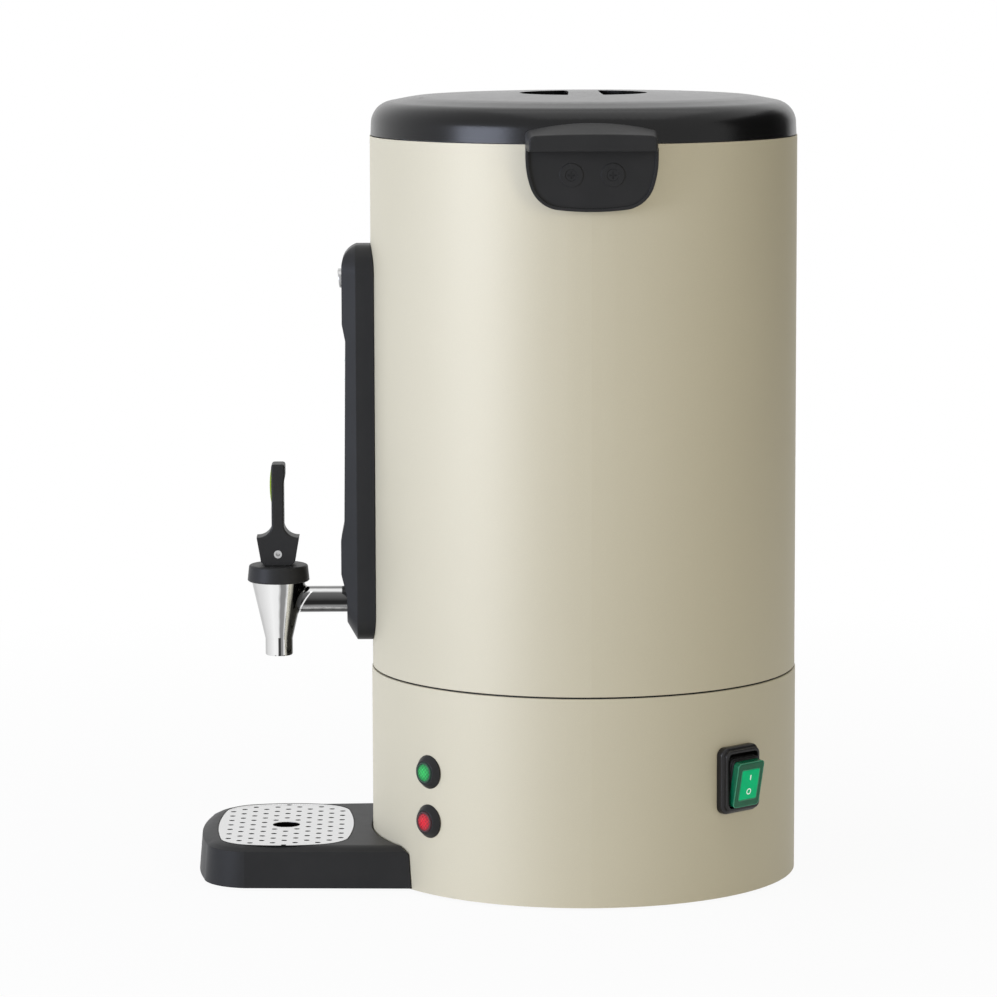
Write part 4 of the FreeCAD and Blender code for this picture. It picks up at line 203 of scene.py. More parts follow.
class Finish(Tree):
    """A material with a Principled shader, and the patterns that this urn's surfaces share."""

    def __init__(self, name, colour, roughness, **constants):
        self.material = bpy.data.materials.new(name)
        self.material.use_nodes = True
        super().__init__(self.material.node_tree)
        self.shader = self.node_tree.nodes["Principled BSDF"]
        self.set("Base Color", (*colour, 1.0))
        self.set("Roughness", roughness)
        for socket, value in constants.items():
            self.set(SOCKETS[socket], value)
        self.colour = colour
        self.roughness = roughness
        self.place = self.node("ShaderNodeTexCoord", out="Object")
        finishes[name] = self.material

    def set(self, socket, value):
        self.feed(self.shader.inputs[socket], value)

    def noise(self, scale, detail=2.0, along=None):
        where = self.place
        if along is not None:
            where = self.node("ShaderNodeMapping", {"Vector": where, "Scale": along})
        return self.node("ShaderNodeTexNoise", {
            "Vector": where, "Scale": scale, "Detail": detail, "Roughness": 0.55,
        })

    def cells(self, scale):
        return self.node("ShaderNodeTexVoronoi", {"Vector": self.place, "Scale": scale})

    def axis(self, name):
        return self.node("ShaderNodeSeparateXYZ", {"Vector": self.place}, out=name)

    def mixed(self, share, dark, light):
        return self.node("ShaderNodeMix", {
            "Factor": share, 6: (*dark, 1.0), 7: (*light, 1.0),
        }, out=2, data_type="RGBA")

    def bump(self, height, depth, strength, edge=0.0):
        """Depth and the radius of the softened edges are in millimetres."""
        sockets = {"Height": height, "Distance": depth * MM, "Strength": strength}
        if edge > 0.0:
            sockets["Normal"] = self.node("ShaderNodeBevel", {"Radius": edge * MM}, samples=4)
        self.set("Normal", self.node("ShaderNodeBump", sockets))


def shade(colour, factor):
    return tuple(min(1.0, part * factor) for part in colour)


print("a finish reads the object's own coordinates")

# %% [markdown]
# ## The champagne coat
# The drum is steel with a baked metallic powder coat. Up close such a coat has two scales: a
# soft orange-peel wave about a millimetre across, and fine mica flakes that make it sparkle a
# little. The wave goes into the bump, the flakes into colour and roughness. Both are kept weak,
# because from nearly three metres the coat has to read as one calm satin tone.

# %% Champagne coat
coat = Finish("champagne_coat", (0.61, 0.56, 0.41), 0.50, metallic=0.12, specular_level=0.8)
flakes = coat.cells(2600.0)
cloud = coat.noise(9.0, 3.0)
coat.set("Base Color", coat.mixed(
    flakes * 0.6 + cloud * 0.4, shade(coat.colour, 0.94), shade(coat.colour, 1.06),
))
coat.set("Roughness", coat.roughness + 0.05 * flakes + 0.04 * (cloud - 0.5))
coat.bump(coat.noise(900.0, 1.0), 0.03, 0.5)
print("champagne coat:", coat.colour)

# %% [markdown]
# ## Black mouldings
# Lid, handles, gauge housing, tray, lever and bonnet are injection-moulded. Their moulds are
# spark-eroded, which leaves a very fine even grain, and that is why the highlights are broad and
# soft. Rubber has a coarser, duller grain, and the switch is moulded in a smoother mould. No
# moulded edge is quite sharp. The Bevel node turns the normals within a millimetre of an edge,
# so that each edge catches the light as a thin line and the mesh stays as it is.


# %% Black mouldings
SOFT_BLACK = (0.026, 0.026, 0.026)
WANDER = 0.05


def moulding(name, colour, roughness, grain, depth, gloss=0.28, edge=0.0):
    made = Finish(name, colour, roughness, specular_level=gloss)
    mottle = made.noise(35.0, 3.0)
    made.set("Base Color", made.mixed(mottle, shade(colour, 0.8), shade(colour, 1.2)))
    made.set("Roughness", roughness - WANDER / 2 + WANDER * made.noise(120.0, 3.0))
    made.bump(made.noise(grain, 2.0), depth, 0.6, edge)
    return made


moulding("black_moulding", SOFT_BLACK, 0.42, 2600.0, 0.03, gloss=0.14, edge=0.8)
moulding("lid_moulding", (0.0045, 0.0045, 0.0047), 0.25, 2300.0, 0.02)
moulding("tray_moulding", SOFT_BLACK, 0.45, 2600.0, 0.03, gloss=0.12, edge=0.9)
moulding("switch_moulding", (0.010, 0.009, 0.0092), 0.32, 3200.0, 0.02, gloss=0.34, edge=0.5)
moulding("rubber", (0.009, 0.009, 0.009), 0.55, 1800.0, 0.06)
moulding("silicone", (0.34, 0.34, 0.33), 0.5, 1500.0, 0.04)
moulding("white_block", (0.72, 0.72, 0.69), 0.5, 1800.0, 0.04)
moulding("lime_moulding", (0.42, 0.60, 0.03), 0.33, 2400.0, 0.02)
moulding("phenolic_board", (0.13, 0.05, 0.03), 0.55, 1400.0, 0.05)
marks_white = moulding("mark_white", (0.82, 0.86, 0.82), 0.4, 1800.0, 0.01)
# The faint glow stands for the switch lamp on the switch marks; on the gauge's level marks, which
# no lamp lights from behind, it is painted light.
marks_white.set("Emission Color", (0.9, 1.0, 0.93, 1.0))
marks_white.set("Emission Strength", 0.35)
print(len(finishes), "finishes so far")

# %% [markdown]
# ## Metals
# Rolled stainless sheet carries fine lines from the rolls, so its noise is stretched many times
# over along one axis, and the lines blur reflections across but not along them. Turned and cast
# pieces get a plainer, duller surface. The grate's finish paints the walls of its holes and its
# edges dark: that is painted shade, for the shade that falls in them, so one finish tells walls
# from face.


# %% Metals
ROLLED = {"lines": (1.0, 0.012, 1.0), "grain": 2200.0}
# A near-black painted on the grate where shade falls, and on the tap as a painted dark reflection.
PAINTED_DARK = (0.012, 0.012, 0.012)


def metal(name, colour, roughness, lines=None, grain=700.0, depth=0.02):
    made = Finish(name, colour, roughness, metallic=1.0)
    streaks = made.noise(grain, 3.0, lines)
    smudge = made.noise(28.0, 2.0)
    made.set("Base Color", made.mixed(streaks, shade(colour, 0.9), shade(colour, 1.08)))
    made.set("Roughness", roughness * (0.85 + 0.3 * streaks) + 0.04 * (smudge - 0.5))
    made.bump(streaks, depth, 0.4)
    return made


metal("rolled_steel", (0.80, 0.80, 0.80), 0.30, **ROLLED)
punched = metal("punched_steel", (0.70, 0.70, 0.70), 0.32, **ROLLED)
# Painted shade: the more upright a face is, the hole walls and the sheet's edge, the darker it is
# painted.
facing = punched.node("ShaderNodeNewGeometry", out="Normal")
upright = punched.node("ShaderNodeSeparateXYZ", {0: facing}, out="Z")
steep_painted_shade = punched.sum("SUBTRACT", 1.0, punched.sum("MINIMUM", abs(upright) * 1.25, 1.0))
punched.set("Base Color", punched.mixed(steep_painted_shade ** 0.5, punched.colour, PAINTED_DARK))
metal("drawn_steel", (0.62, 0.62, 0.61), 0.33, lines=(1.0, 1.0, 0.02), grain=1200.0)
metal("screw_steel", (0.50, 0.50, 0.50), 0.35)
metal("black_screw", (0.032, 0.032, 0.033), 0.40)
metal("plaque_metal", (0.46, 0.46, 0.46), 0.32, lines=(0.02, 1.0, 1.0), grain=1800.0)
metal("cast_aluminium", (0.55, 0.55, 0.55), 0.5, grain=300.0, depth=0.1)
metal("brass", (0.70, 0.53, 0.24), 0.3)
print([name for name in finishes if "steel" in name])

# %% [markdown]
# ## The tap's chrome
# The tap stands right before the black gauge housing and the drum, and over the black tray.
# Its plating mirrors them: the side of the cone that faces the drum is nearly black, with one
# thin bright line before it, and the shank carries level bands. A mirror this small and this
# curved would need the real room to show that, so these bands are painted reflections and a
# painted highlight in the chrome's colour. They follow how far round the cone and how high on
# the shank a point lies, with a little wander, and so they stay put on the metal when the view
# turns.

# %% Tap chrome
TAP_OUT = 191.4
MOUTH_LEVEL, MOUTH_RADIUS, CONE_FLARE = 146.5, 8.6, 0.227
SHANK_LEVEL, SHANK_WIDTH = 162.9, 16.5
plated = Finish("tap_chrome", (0.86, 0.87, 0.88), 0.05, metallic=1.0)
wander = 0.05 * (plated.noise(70.0, 2.0) - 0.5)
above_mouth = plated.sum("MAXIMUM", plated.axis("Z") - MOUTH_LEVEL * MM, 0.0)
cone_radius = MOUTH_RADIUS * MM + CONE_FLARE * above_mouth
round_cone = (plated.axis("Y") + TAP_OUT * MM) / cone_radius
up_shank = (plated.axis("Z") - SHANK_LEVEL * MM) / (SHANK_WIDTH * MM)
# Painted reflection: dark and bright bands round the cone, painted into its colour.
cone_painted_reflection = plated.node("ShaderNodeValToRGB", {"Fac": round_cone * 0.5 + 0.5 + wander}, stops=(
    (0.0, 0.38), (0.10, 0.66), (0.36, 0.90), (0.50, 0.84), (0.555, 0.24), (0.64, 0.26),
    (0.69, 0.86), (0.74, 0.80), (0.80, 0.045), (0.92, 0.03), (1.0, 0.06),
))
# Painted reflection: level bands up the shank.
shank_painted_reflection = plated.node("ShaderNodeValToRGB", {"Fac": up_shank + wander}, stops=(
    (0.0, 0.28), (0.09, 0.06), (0.16, 0.09), (0.22, 0.52), (0.31, 0.24), (0.38, 0.02),
    (0.50, 0.02), (0.62, 0.08), (0.80, 0.13), (0.89, 0.50), (0.96, 0.18), (1.0, 0.34),
))
# A painted dark reflection line along the mouth, and a painted highlight that sweeps up the
# shank's root.
on_mouth = plated.axis("Z") < (MOUTH_LEVEL + 1.3) * MM
mouth_painted_dark_line = plated.sum("COMPARE", round_cone, 0.06, 0.09) * on_mouth
on_shank = round_cone > 1.01
root_painted_highlight = plated.sum("COMPARE", round_cone - 0.42 * (up_shank ** 2.0), 1.045, 0.035)
painted_reflection_tone = cone_painted_reflection
for share, tone in (
    (on_shank, shank_painted_reflection),
    (mouth_painted_dark_line * 0.94, (*PAINTED_DARK, 1.0)),
    (root_painted_highlight * (up_shank < 0.85) * 0.9, (0.92, 0.92, 0.92, 1.0)),
):
    painted_reflection_tone = plated.node("ShaderNodeMix", {
        "Factor": share, 6: painted_reflection_tone, 7: tone,
    }, out=2, data_type="RGBA")
plated.set("Base Color", painted_reflection_tone)
plated.set("Roughness", plated.roughness + 0.04 * plated.noise(240.0, 2.0))
print("tap chrome mirrors the housing on the side towards the drum")

# %% [markdown]
# ## Things that light goes into
# The pilot lenses and the boot over the rocker are clear coloured plastic. Most of what we see
# is light that went in, met a pale back and came out tinted. A little transmission, a smooth
# skin and, on the lenses, a painted lighter middle with painted highlights do that; a full glass
# shader would only turn them black here.


# %% Lenses, boot and glass
LAMP_AZIMUTH = math.radians(-47.5)
LAMPS = {"green": 77.5, "red": 46.9}
LENS_RADIUS = 6.4
PAINTED_GLINT_SCALE = 2400.0


def tinted(name, colour, roughness, gloss=0.35, glow=0.0, coat_weight=0.0):
    made = Finish(
        name, colour, roughness,
        transmission_weight=0.1, ior=1.46, coat_weight=coat_weight, coat_roughness=0.1,
        specular_level=gloss, emission_strength=glow,
    )
    made.set("Emission Color", (*colour, 1.0))
    veil = made.noise(160.0, 2.0)
    made.set("Base Color", made.mixed(veil, shade(colour, 0.75), shade(colour, 1.25)))
    made.set("Roughness", roughness + 0.1 * veil)
    return made


def lens(name, bright, dim, level):
    """Painted bright in its middle and dim at its rim, with painted highlights in the pitch of its
    facets.
    """
    made = Finish(name, bright, 0.2, specular_level=0.25, emission_strength=0.2)
    across = made.axis("Y") * math.cos(LAMP_AZIMUTH) - made.axis("X") * math.sin(LAMP_AZIMUTH)
    high = made.axis("Z") - level * MM
    off_middle = (across ** 2.0 + high ** 2.0) ** 0.5 / (LENS_RADIUS * MM)
    # Painted light: a grid of bright dots in the facets' pitch and a bright middle, in the lens's
    # colour and glow.
    painted_glint = made.sum("SINE", across * PAINTED_GLINT_SCALE) * made.sum("SINE", high * PAINTED_GLINT_SCALE)
    painted_shine = made.sum("MAXIMUM", 1.0 - off_middle ** 1.4, 0.0) * (0.95 + 0.5 * painted_glint)
    tone = made.mixed(painted_shine, dim, bright)
    made.set("Base Color", tone)
    made.set("Emission Color", tone)


lens("green_lens", (0.035, 0.50, 0.11), (0.012, 0.085, 0.035), LAMPS["green"])
lens("red_lens", (0.70, 0.018, 0.035), (0.13, 0.02, 0.025), LAMPS["red"])
tinted("green_margin", (0.045, 0.085, 0.06), 0.5, gloss=0.2)
tinted("red_margin", (0.085, 0.045, 0.048), 0.5, gloss=0.2)
tinted("green_boot", (0.004, 0.145, 0.065), 0.16, gloss=0.2, coat_weight=0.12)
# A paler green for the beads along the boot's bends: a painted highlight.
tinted("green_edge", (0.035, 0.32, 0.17), 0.2, coat_weight=0.3)
tinted("green_window", (0.003, 0.39, 0.15), 0.3, gloss=0.06, glow=0.5)
glass = Finish("tube_glass", (0.93, 0.97, 0.96), 0.02, transmission_weight=1.0, ior=1.47)
glass.set("Roughness", glass.roughness + 0.03 * glass.noise(90.0, 2.0))
print(len(finishes), "finishes")

# %% [markdown]
# ## Dressing the solids
# Each solid keeps its own mesh and only changes its material slot. The list reads like a parts
# list: a finish, then the solids that wear it. The last line names any that was forgotten.

# %% Dress the solids
WEARS = {
    "champagne_coat": ("outer_shell", "base_shell"),
    "lid_moulding": ("lid_cover",),
    "black_moulding": (
        "handle_right", "handle_left", "fascia", "tap_lever", "tap_bonnet",
        "lamp_green_body", "lamp_red_body", "lid_liner", "gauge_body", "gauge_cap", "base_plate",
    ),
    "tray_moulding": ("tray_body",),
    "switch_moulding": ("switch_frame", "switch_housing"),
    "rubber": (
        "foot_front_right", "foot_rear_right", "foot_rear_left", "foot_front_left",
        "seam_gasket", "switch_skirt", "cord_grommet", "tap_seal", "tap_gasket", "seat_cup",
    ),
    "silicone": ("lid_seal", "gauge_seal"),
    "white_block": ("terminal_block", "rocker"),
    "lime_moulding": ("lever_insert",),
    "phenolic_board": ("thermostat", "boil_dry_cutout"),
    "tap_chrome": ("tap_body",),
    "punched_steel": ("tray_grate",),
    "drawn_steel": (
        "inner_vessel", "rim_collar", "riser_tube", "pump_foot", "coffee_basket",
        "basket_cover", "tap_stem", "tap_spring", "boiling_element", "keep_warm_element",
    ),
    "screw_steel": (
        "lever_pin", "tie_rods", "tie_nuts", "lid_screws", "fascia_screws", "handle_nut_plates",
    ),
    "black_screw": ("handle_screws",),
    "plaque_metal": ("badge_plate",),
    "cast_aluminium": ("heater_plate",),
    "brass": ("tap_nut",),
    "green_lens": ("lamp_green_lens",),
    "red_lens": ("lamp_red_lens",),
    "green_boot": ("rocker_boot",),
    "tube_glass": ("sight_glass",),
}

dressed = set()
for finish, names in WEARS.items():
    for name in names:
        nodes[name].data.materials.clear()
        nodes[name].data.materials.append(finishes[finish])
        dressed.add(name)
print("still bare:", sorted(set(nodes) - dressed))

# %% [markdown]
# ## A workbench for geometry trees
# What repeats is made with Geometry Nodes: one small shape, and a rule that says where each copy
# stands. The tree is built here with named inputs, put on an empty mesh as a modifier, and its
# inputs are set by the identifiers of their sockets. The evaluated result is then taken over as
# a plain mesh, so the finished piece needs no modifier and exports as it looks.


# %% Geometry workbench
class Recipe(Tree):
    """A geometry tree with named number inputs."""

    def __init__(self, name, **sizes):
        super().__init__(bpy.data.node_groups.new(name, "GeometryNodeTree"))
        self.sizes = sizes
        face = self.node_tree.interface
        face.new_socket("Geometry", in_out="OUTPUT", socket_type="NodeSocketGeometry")
        for size, value in sizes.items():
            kind = "NodeSocketInt" if isinstance(value, int) else "NodeSocketFloat"
            face.new_socket(size, in_out="INPUT", socket_type=kind)
        self.inputs = self.node_tree.nodes.new("NodeGroupInput")

    def size(self, name):
        return Wire(self, self.inputs.outputs[name])

    def geo(self, kind, sockets=None, out=0, **settings):
        return self.node(f"GeometryNode{kind}", sockets, out, **settings)

    def without(self, points, unwanted):
        """The points that are left when the unwanted ones are deleted."""
        return self.geo(
            "DeleteGeometry", {"Geometry": points, "Selection": unwanted}, domain="POINT",
        )

    def position(self, axis):
        place = self.geo("InputPosition")
        return self.node("ShaderNodeSeparateXYZ", {0: place}, out=axis)

    def vector(self, x=0.0, y=0.0, z=0.0):
        return self.node("ShaderNodeCombineXYZ", {"X": x, "Y": y, "Z": z})

    def joined(self, *parts):
        made = self.node_tree.nodes.new("GeometryNodeJoinGeometry")
        for part in reversed(parts):
            self.node_tree.links.new(part.socket, made.inputs[0])
        return Wire(self, made.outputs[0])

    def finish(self, geometry, finish):
        real = self.geo("RealizeInstances", {"Geometry": geometry})
        clad = self.geo("SetMaterial", {"Geometry": real, "Material": finishes[finish]})
        end = self.node_tree.nodes.new("NodeGroupOutput")
        self.node_tree.links.new(clad.socket, end.inputs[0])


def baked(recipe, name, place):
    """Runs a recipe on an empty mesh and returns its result as a plain object."""
    seed = added(f"{name}_seed", bpy.data.meshes.new(f"{name}_seed"))
    modifier = seed.modifiers.new("recipe", "NODES")
    modifier.node_group = recipe.node_tree
    for item in recipe.node_tree.interface.items_tree:
        if item.in_out == "INPUT":
            modifier[item.identifier] = recipe.sizes[item.name]
    ready = seed.evaluated_get(bpy.context.evaluated_depsgraph_get())
    mesh = bpy.data.meshes.new_from_object(ready)
    mesh.name = name
    mesh.transform(place)
    bpy.data.objects.remove(seed)
    print(name, len(mesh.polygons), "faces")
    return added(name, mesh)


def smooth(piece, angle):
    """Shades a piece smoothly, but keeps edges that turn by more than the angle sharp."""
    piece.data.polygons.foreach_set("use_smooth", [True] * len(piece.data.polygons))
    piece.data.set_sharp_from_angle(angle=math.radians(angle))


def shift(x=0.0, y=0.0, z=0.0):
    """The matrix that moves a piece by a number of millimetres."""
    return Matrix.Translation(Vector((x, y, z)) * MM)


print("the workbench is ready")

# %% [markdown]
# ## The punched grate
# The drip grate is stainless sheet with rows of punched holes. A punch draws the sheet's edge
# slightly in and leaves a rounded lip round each hole, and it is that lip that catches the
# light. One lip is a thin ring; it stands on every point of two grids, one for the odd rows and
# one shifted by half a pitch for the even rows. Points off the grate or in its drain are
# deleted, by the same rule that the holes follow.

# %% Grate lips
GRATE_OUT = 187.9
SQUIRCLE = 3.6
grate_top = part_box("tray_grate")[1].z / MM
lips = Recipe(
    "grate_lips", columns=9, rows=19, pitch=14.0 * MM, row_pitch=7.0 * MM,
    hole=1.93 * MM, lip=0.16 * MM, drain=11.5 * MM, half_x=63.2 * MM, half_y=38.05 * MM,
)


def hole_rows(tree, aside):
    """Every second row of the grate's holes, set aside by a share of the pitch."""
    columns = tree.size("columns")
    rows = tree.size("rows")
    grid = tree.geo("MeshGrid", {
        "Size X": (rows - 1.0) * tree.size("row_pitch"),
        "Size Y": (columns - 1.0) * tree.size("pitch"),
        "Vertices X": rows, "Vertices Y": columns,
    }, out="Mesh")
    odd = tree.sum("PINGPONG", tree.position("X") / tree.size("row_pitch"), 1.0) > 0.5
    wanted = odd if aside == 0.0 else 1.0 - odd
    return tree.geo("Transform", {
        "Geometry": tree.without(grid, 1.0 - wanted),
        "Translation": tree.vector(y=tree.size("pitch") * aside),
    })


points = lips.joined(hole_rows(lips, 0.0), hole_rows(lips, 0.5))
x_share = abs(lips.position("X")) / lips.size("half_x")
y_share = abs(lips.position("Y")) / lips.size("half_y")
from_middle = (lips.position("X") ** 2.0 + lips.position("Y") ** 2.0) ** 0.5
off_sheet = (x_share ** SQUIRCLE + y_share ** SQUIRCLE) > 1.0
in_drain = from_middle < lips.size("drain")
points = lips.without(points, lips.sum("MAXIMUM", off_sheet, in_drain))
path = lips.geo("CurvePrimitiveCircle", {"Resolution": 20, "Radius": lips.size("hole")})
section = lips.geo("CurvePrimitiveCircle", {"Resolution": 6, "Radius": lips.size("lip")})
lip = lips.geo("CurveToMesh", {"Curve": path, "Profile Curve": section})
raised = lips.geo("InstanceOnPoints", {"Points": points, "Instance": lip})
lips.finish(raised, "punched_steel")
grate_lips = baked(lips, "grate_lips", shift(y=-GRATE_OUT, z=grate_top - 0.15))
smooth(grate_lips, 80.0)
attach(grate_lips, "grate")

# %% [markdown]
# ## The drain ring
# The large hole in the middle is drawn down rather than punched flat, so it has a wider rounded
# edge. That edge is a small round section that is turned once about the hole's axis: one ring
# of points for each step, and faces between each ring and the next.


# %% Turned pieces
def mesh_from(shape, name):
    """Turns an edited shape into a mesh and lets go of it."""
    mesh = bpy.data.meshes.new(name)
    shape.to_mesh(mesh)
    shape.free()
    return mesh


def placed(shape, name, finish, place, angle=50.0):
    """Puts a finished shape in its place and dresses it."""
    bmesh.ops.recalc_face_normals(shape, faces=shape.faces)
    mesh = mesh_from(shape, name)
    mesh.transform(place)
    mesh.materials.append(finishes[finish])
    made = added(name, mesh)
    smooth(made, angle)
    print(name, len(mesh.polygons), "faces")
    return made


def join_rings(shape, rings):
    """Adds the faces between each ring of points and the next."""
    for ring, following in zip(rings, rings[1:]):
        for side in range(len(ring)):
            after = (side + 1) % len(ring)
            shape.faces.new((ring[side], following[side], following[after], ring[after]))


def turned(name, profile, steps, finish, place):
    """A ring from a profile of (radius, level) points in millimetres, turned round Z."""
    shape = bmesh.new()
    rings = []
    for step in range(steps):
        angle = 2.0 * math.pi * step / steps
        rings.append([
            shape.verts.new((r * MM * math.cos(angle), r * MM * math.sin(angle), z * MM))
            for r, z in profile
        ])
    join_rings(shape, rings + rings[:1])
    return placed(shape, name, finish, place)


def round_section(radius, middle_out, middle_level=0.0, sides=10):
    points = []
    for side in range(sides):
        angle = 2.0 * math.pi * side / sides
        points.append((
            middle_out + radius * math.cos(angle), middle_level + radius * math.sin(angle),
        ))
    return points


drain_ring = turned(
    "drain_ring", round_section(0.4, 8.95, -0.3), 48, "punched_steel",
    shift(y=-GRATE_OUT, z=grate_top),
)
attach(drain_ring, "grate")

# %% [markdown]
# ## The grate's edge
# The sheet's edge is rolled to a small bead, and between it and the tray runs a shadow gap. Its
# shadow is painted: a dark bead laid in the gap stands in for it. Seen almost from the side, both
# beads are only visible because they are round: a bead has a height that a flat strip lacks.
# Their path is the convex outline round the grate's own points.


# %% Beads
def turn_of(a, b, c):
    return (b[0] - a[0]) * (c[1] - a[1]) - (b[1] - a[1]) * (c[0] - a[0])


def outline_round(points):
    """The convex outline round a set of (x, y) points, counterclockwise."""
    ordered = sorted(set(points))
    outline = []
    for run in (ordered, ordered[::-1]):
        chain = []
        for point in run:
            while len(chain) > 1 and turn_of(chain[-2], chain[-1], point) <= 0.0:
                chain.pop()
            chain.append(point)
        outline += chain[:-1]
    return outline


def bead(name, outline, outside, radius, finish, place):
    """A round bead along a closed outline, set outside it by a distance, in millimetres."""
    shape = bmesh.new()
    rings = []
    for number, point in enumerate(outline):
        along = Vector(outline[(number + 1) % len(outline)]) - Vector(outline[number - 1])
        outward = Vector((along.y, -along.x)).normalized()
        ring = []
        for distance, level in round_section(radius, outside, sides=8):
            spot = Vector(point) + outward * distance
            ring.append(shape.verts.new(Vector((*spot, level)) * MM))
        rings.append(ring)
    join_rings(shape, rings + rings[:1])
    return placed(shape, name, finish, place)


grate_line = outline_round([
    (round(vertex.co.x / MM, 3), round(vertex.co.y / MM, 3))
    for vertex in nodes["tray_grate"].data.vertices if vertex.co.z / MM > grate_top - 0.01
])
rolled_edge = bead(
    "grate_edge", grate_line, -0.5, 0.45, "rolled_steel", shift(z=grate_top - 0.25),
)
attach(rolled_edge, "grate")
# A dark bead in the gap: painted shadow, in the rubber's black.
painted_gap_shadow = bead("tray_gap_painted_shadow", grate_line, 0.22, 0.3, "rubber", shift(z=grate_top + 0.12))
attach(painted_gap_shadow, "tray")

# %% [markdown]
# ## The lamps' lenses
# A pilot lens is moulded with small pyramids on its face, so that it glitters from every side.
# Here a four-sided cone stands on each point of a grid that is turned by 45 degrees. Points
# near the rim are dropped, which leaves the plain frosted margin, and the rest are lifted onto
# the lens's dome before the cones are placed. Both lamps use the same recipe.

# %% Lens facets
LENS_CROWN = 137.7
LENS_RIM = 137.0


def facing_out(azimuth, out, level):
    """The matrix that stands a flat piece, drawn face up, on the drum at a level."""
    turn = Matrix.Rotation(azimuth, 4, "Z") @ Matrix.Rotation(math.pi / 2, 4, "Y")
    return shift(out * math.cos(azimuth), out * math.sin(azimuth), level) @ turn


for colour, level in LAMPS.items():
    facets = Recipe(
        f"{colour}_lens_facets", count=9, pitch=1.32 * MM, margin=5.1 * MM,
        rise=0.42 * MM, dome=26.0 * MM,
    )
    count = facets.size("count")
    span = (count - 1.0) * facets.size("pitch")
    grid = facets.geo("MeshGrid", {
        "Size X": span, "Size Y": span, "Vertices X": count, "Vertices Y": count,
    }, out="Mesh")
    grid = facets.geo("Transform", {
        "Geometry": grid, "Rotation": (0.0, 0.0, math.pi / 4),
    })
    reach = facets.position("X") ** 2.0 + facets.position("Y") ** 2.0
    inside = facets.without(grid, reach > facets.size("margin") ** 2.0)
    sag = 0.0 - reach / (2.0 * facets.size("dome"))
    domed = facets.geo("SetPosition", {"Geometry": inside, "Offset": facets.vector(z=sag)})
    pyramid = facets.geo("MeshCone", {
        "Vertices": 4, "Radius Top": 0.0, "Radius Bottom": facets.size("pitch") * 0.707,
        "Depth": facets.size("rise"),
    }, out="Mesh")
    pyramids = facets.geo("InstanceOnPoints", {"Points": domed, "Instance": pyramid})
    facets.finish(pyramids, f"{colour}_lens")
    glitter = baked(
        facets, f"lamp_{colour}_facets", facing_out(LAMP_AZIMUTH, LENS_CROWN - 0.12, level),
    )
    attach(glitter, "urn")
    margin = turned(
        f"lamp_{colour}_margin", round_section(0.6, 5.75), 40, f"{colour}_margin",
        facing_out(LAMP_AZIMUTH, LENS_RIM, level),
    )
    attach(margin, "urn")

# %% [markdown]
# ## The valve spring
# A compression spring is a main piece with a rule of its own: a wire along a helix. The Spiral
# curve draws the helix and Curve to Mesh puts a round wire on it. The spring is seated under
# the bonnet, and when the stem lifts it is pressed together.

# %% Valve spring
WIRE = 0.65
spring_foot, spring_head = (corner.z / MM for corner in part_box("tap_spring"))
coil_height = spring_head - spring_foot - 2.0 * WIRE
coil = Recipe(
    "valve_spring", turns=5.0, ring=4.6 * MM, height=coil_height * MM, wire=WIRE * MM,
)
helix = coil.geo("CurveSpiral", {
    "Resolution": 24, "Rotations": coil.size("turns"), "Start Radius": coil.size("ring"),
    "End Radius": coil.size("ring"), "Height": coil.size("height"),
})
round_wire = coil.geo("CurvePrimitiveCircle", {
    "Resolution": 10, "Radius": coil.size("wire"),
})
sprung = coil.geo("CurveToMesh", {
    "Curve": helix, "Profile Curve": round_wire, "Fill Caps": True,
})
coil.finish(sprung, "drawn_steel")
spring = baked(coil, "valve_spring", shift(y=-TAP_OUT, z=spring_foot + WIRE))
smooth(spring, 60.0)
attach(spring, "urn")
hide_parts("tap_spring")
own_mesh(spring)

# %% [markdown]
# ## Level marks beside the gauge
# The gauge's slot has a raised line for each level on either side, moulded with the housing.
# They carry no numbers. A line of points and one small rounded bar make the scale. A ray that
# is sent at the housing beside the slot measures how far out its face is, so that the bars sit
# in its skin.

# %% Level marks
MARK_ASIDE = 9.5
LOWEST_MARK, MEASURED_AT = 226.0, 270.0
before_housing = Vector((MARK_ASIDE, -300.0, MEASURED_AT)) * MM
scale_face = nodes["fascia"].ray_cast(before_housing, Vector((0.0, 1.0, 0.0)))[1].y / MM
marks = Recipe("level_marks", count=9, step=12.0 * MM, length=4.2 * MM, thick=0.7 * MM)
ladder = marks.geo("MeshLine", {
    "Count": marks.size("count"), "Offset": marks.vector(z=marks.size("step")),
})
bar = marks.geo("CurvePrimitiveLine", {
    "Start": marks.vector(x=marks.size("length") / -2.0),
    "End": marks.vector(x=marks.size("length") / 2.0),
})
section = marks.geo("CurvePrimitiveCircle", {
    "Resolution": 8, "Radius": marks.size("thick") / 2.0,
})
bar = marks.geo("CurveToMesh", {"Curve": bar, "Profile Curve": section, "Fill Caps": True})
bars = marks.geo("InstanceOnPoints", {"Points": ladder, "Instance": bar})
pair = marks.joined(*(
    marks.geo("Transform", {"Geometry": bars, "Translation": (aside * MM, 0.0, 0.0)})
    for aside in (-MARK_ASIDE, MARK_ASIDE)
))
# The white is the marks' own colour; their faint glow is painted light, as no lamp stands behind
# the housing.
marks.finish(pair, "mark_white")
level_marks = baked(marks, "level_marks", shift(y=scale_face + 0.1, z=LOWEST_MARK))
smooth(level_marks, 50.0)
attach(level_marks, "urn")
print("scale on the face at", round(scale_face, 2))

# %% [markdown]
# ## Rounded plates
# The switch needs thin plates whose front edge is softly rounded. A bevelled box would be round
# at the back as well, and its corners would get the same small radius as its edge. So a plate is
# a rounded rectangle that is built as a stack of outlines: each outline is a little smaller than
# the one below, along a quarter circle, and that is what a rounded edge is. Two more outlines
# and a point in the middle give a larger plate its slight crown.


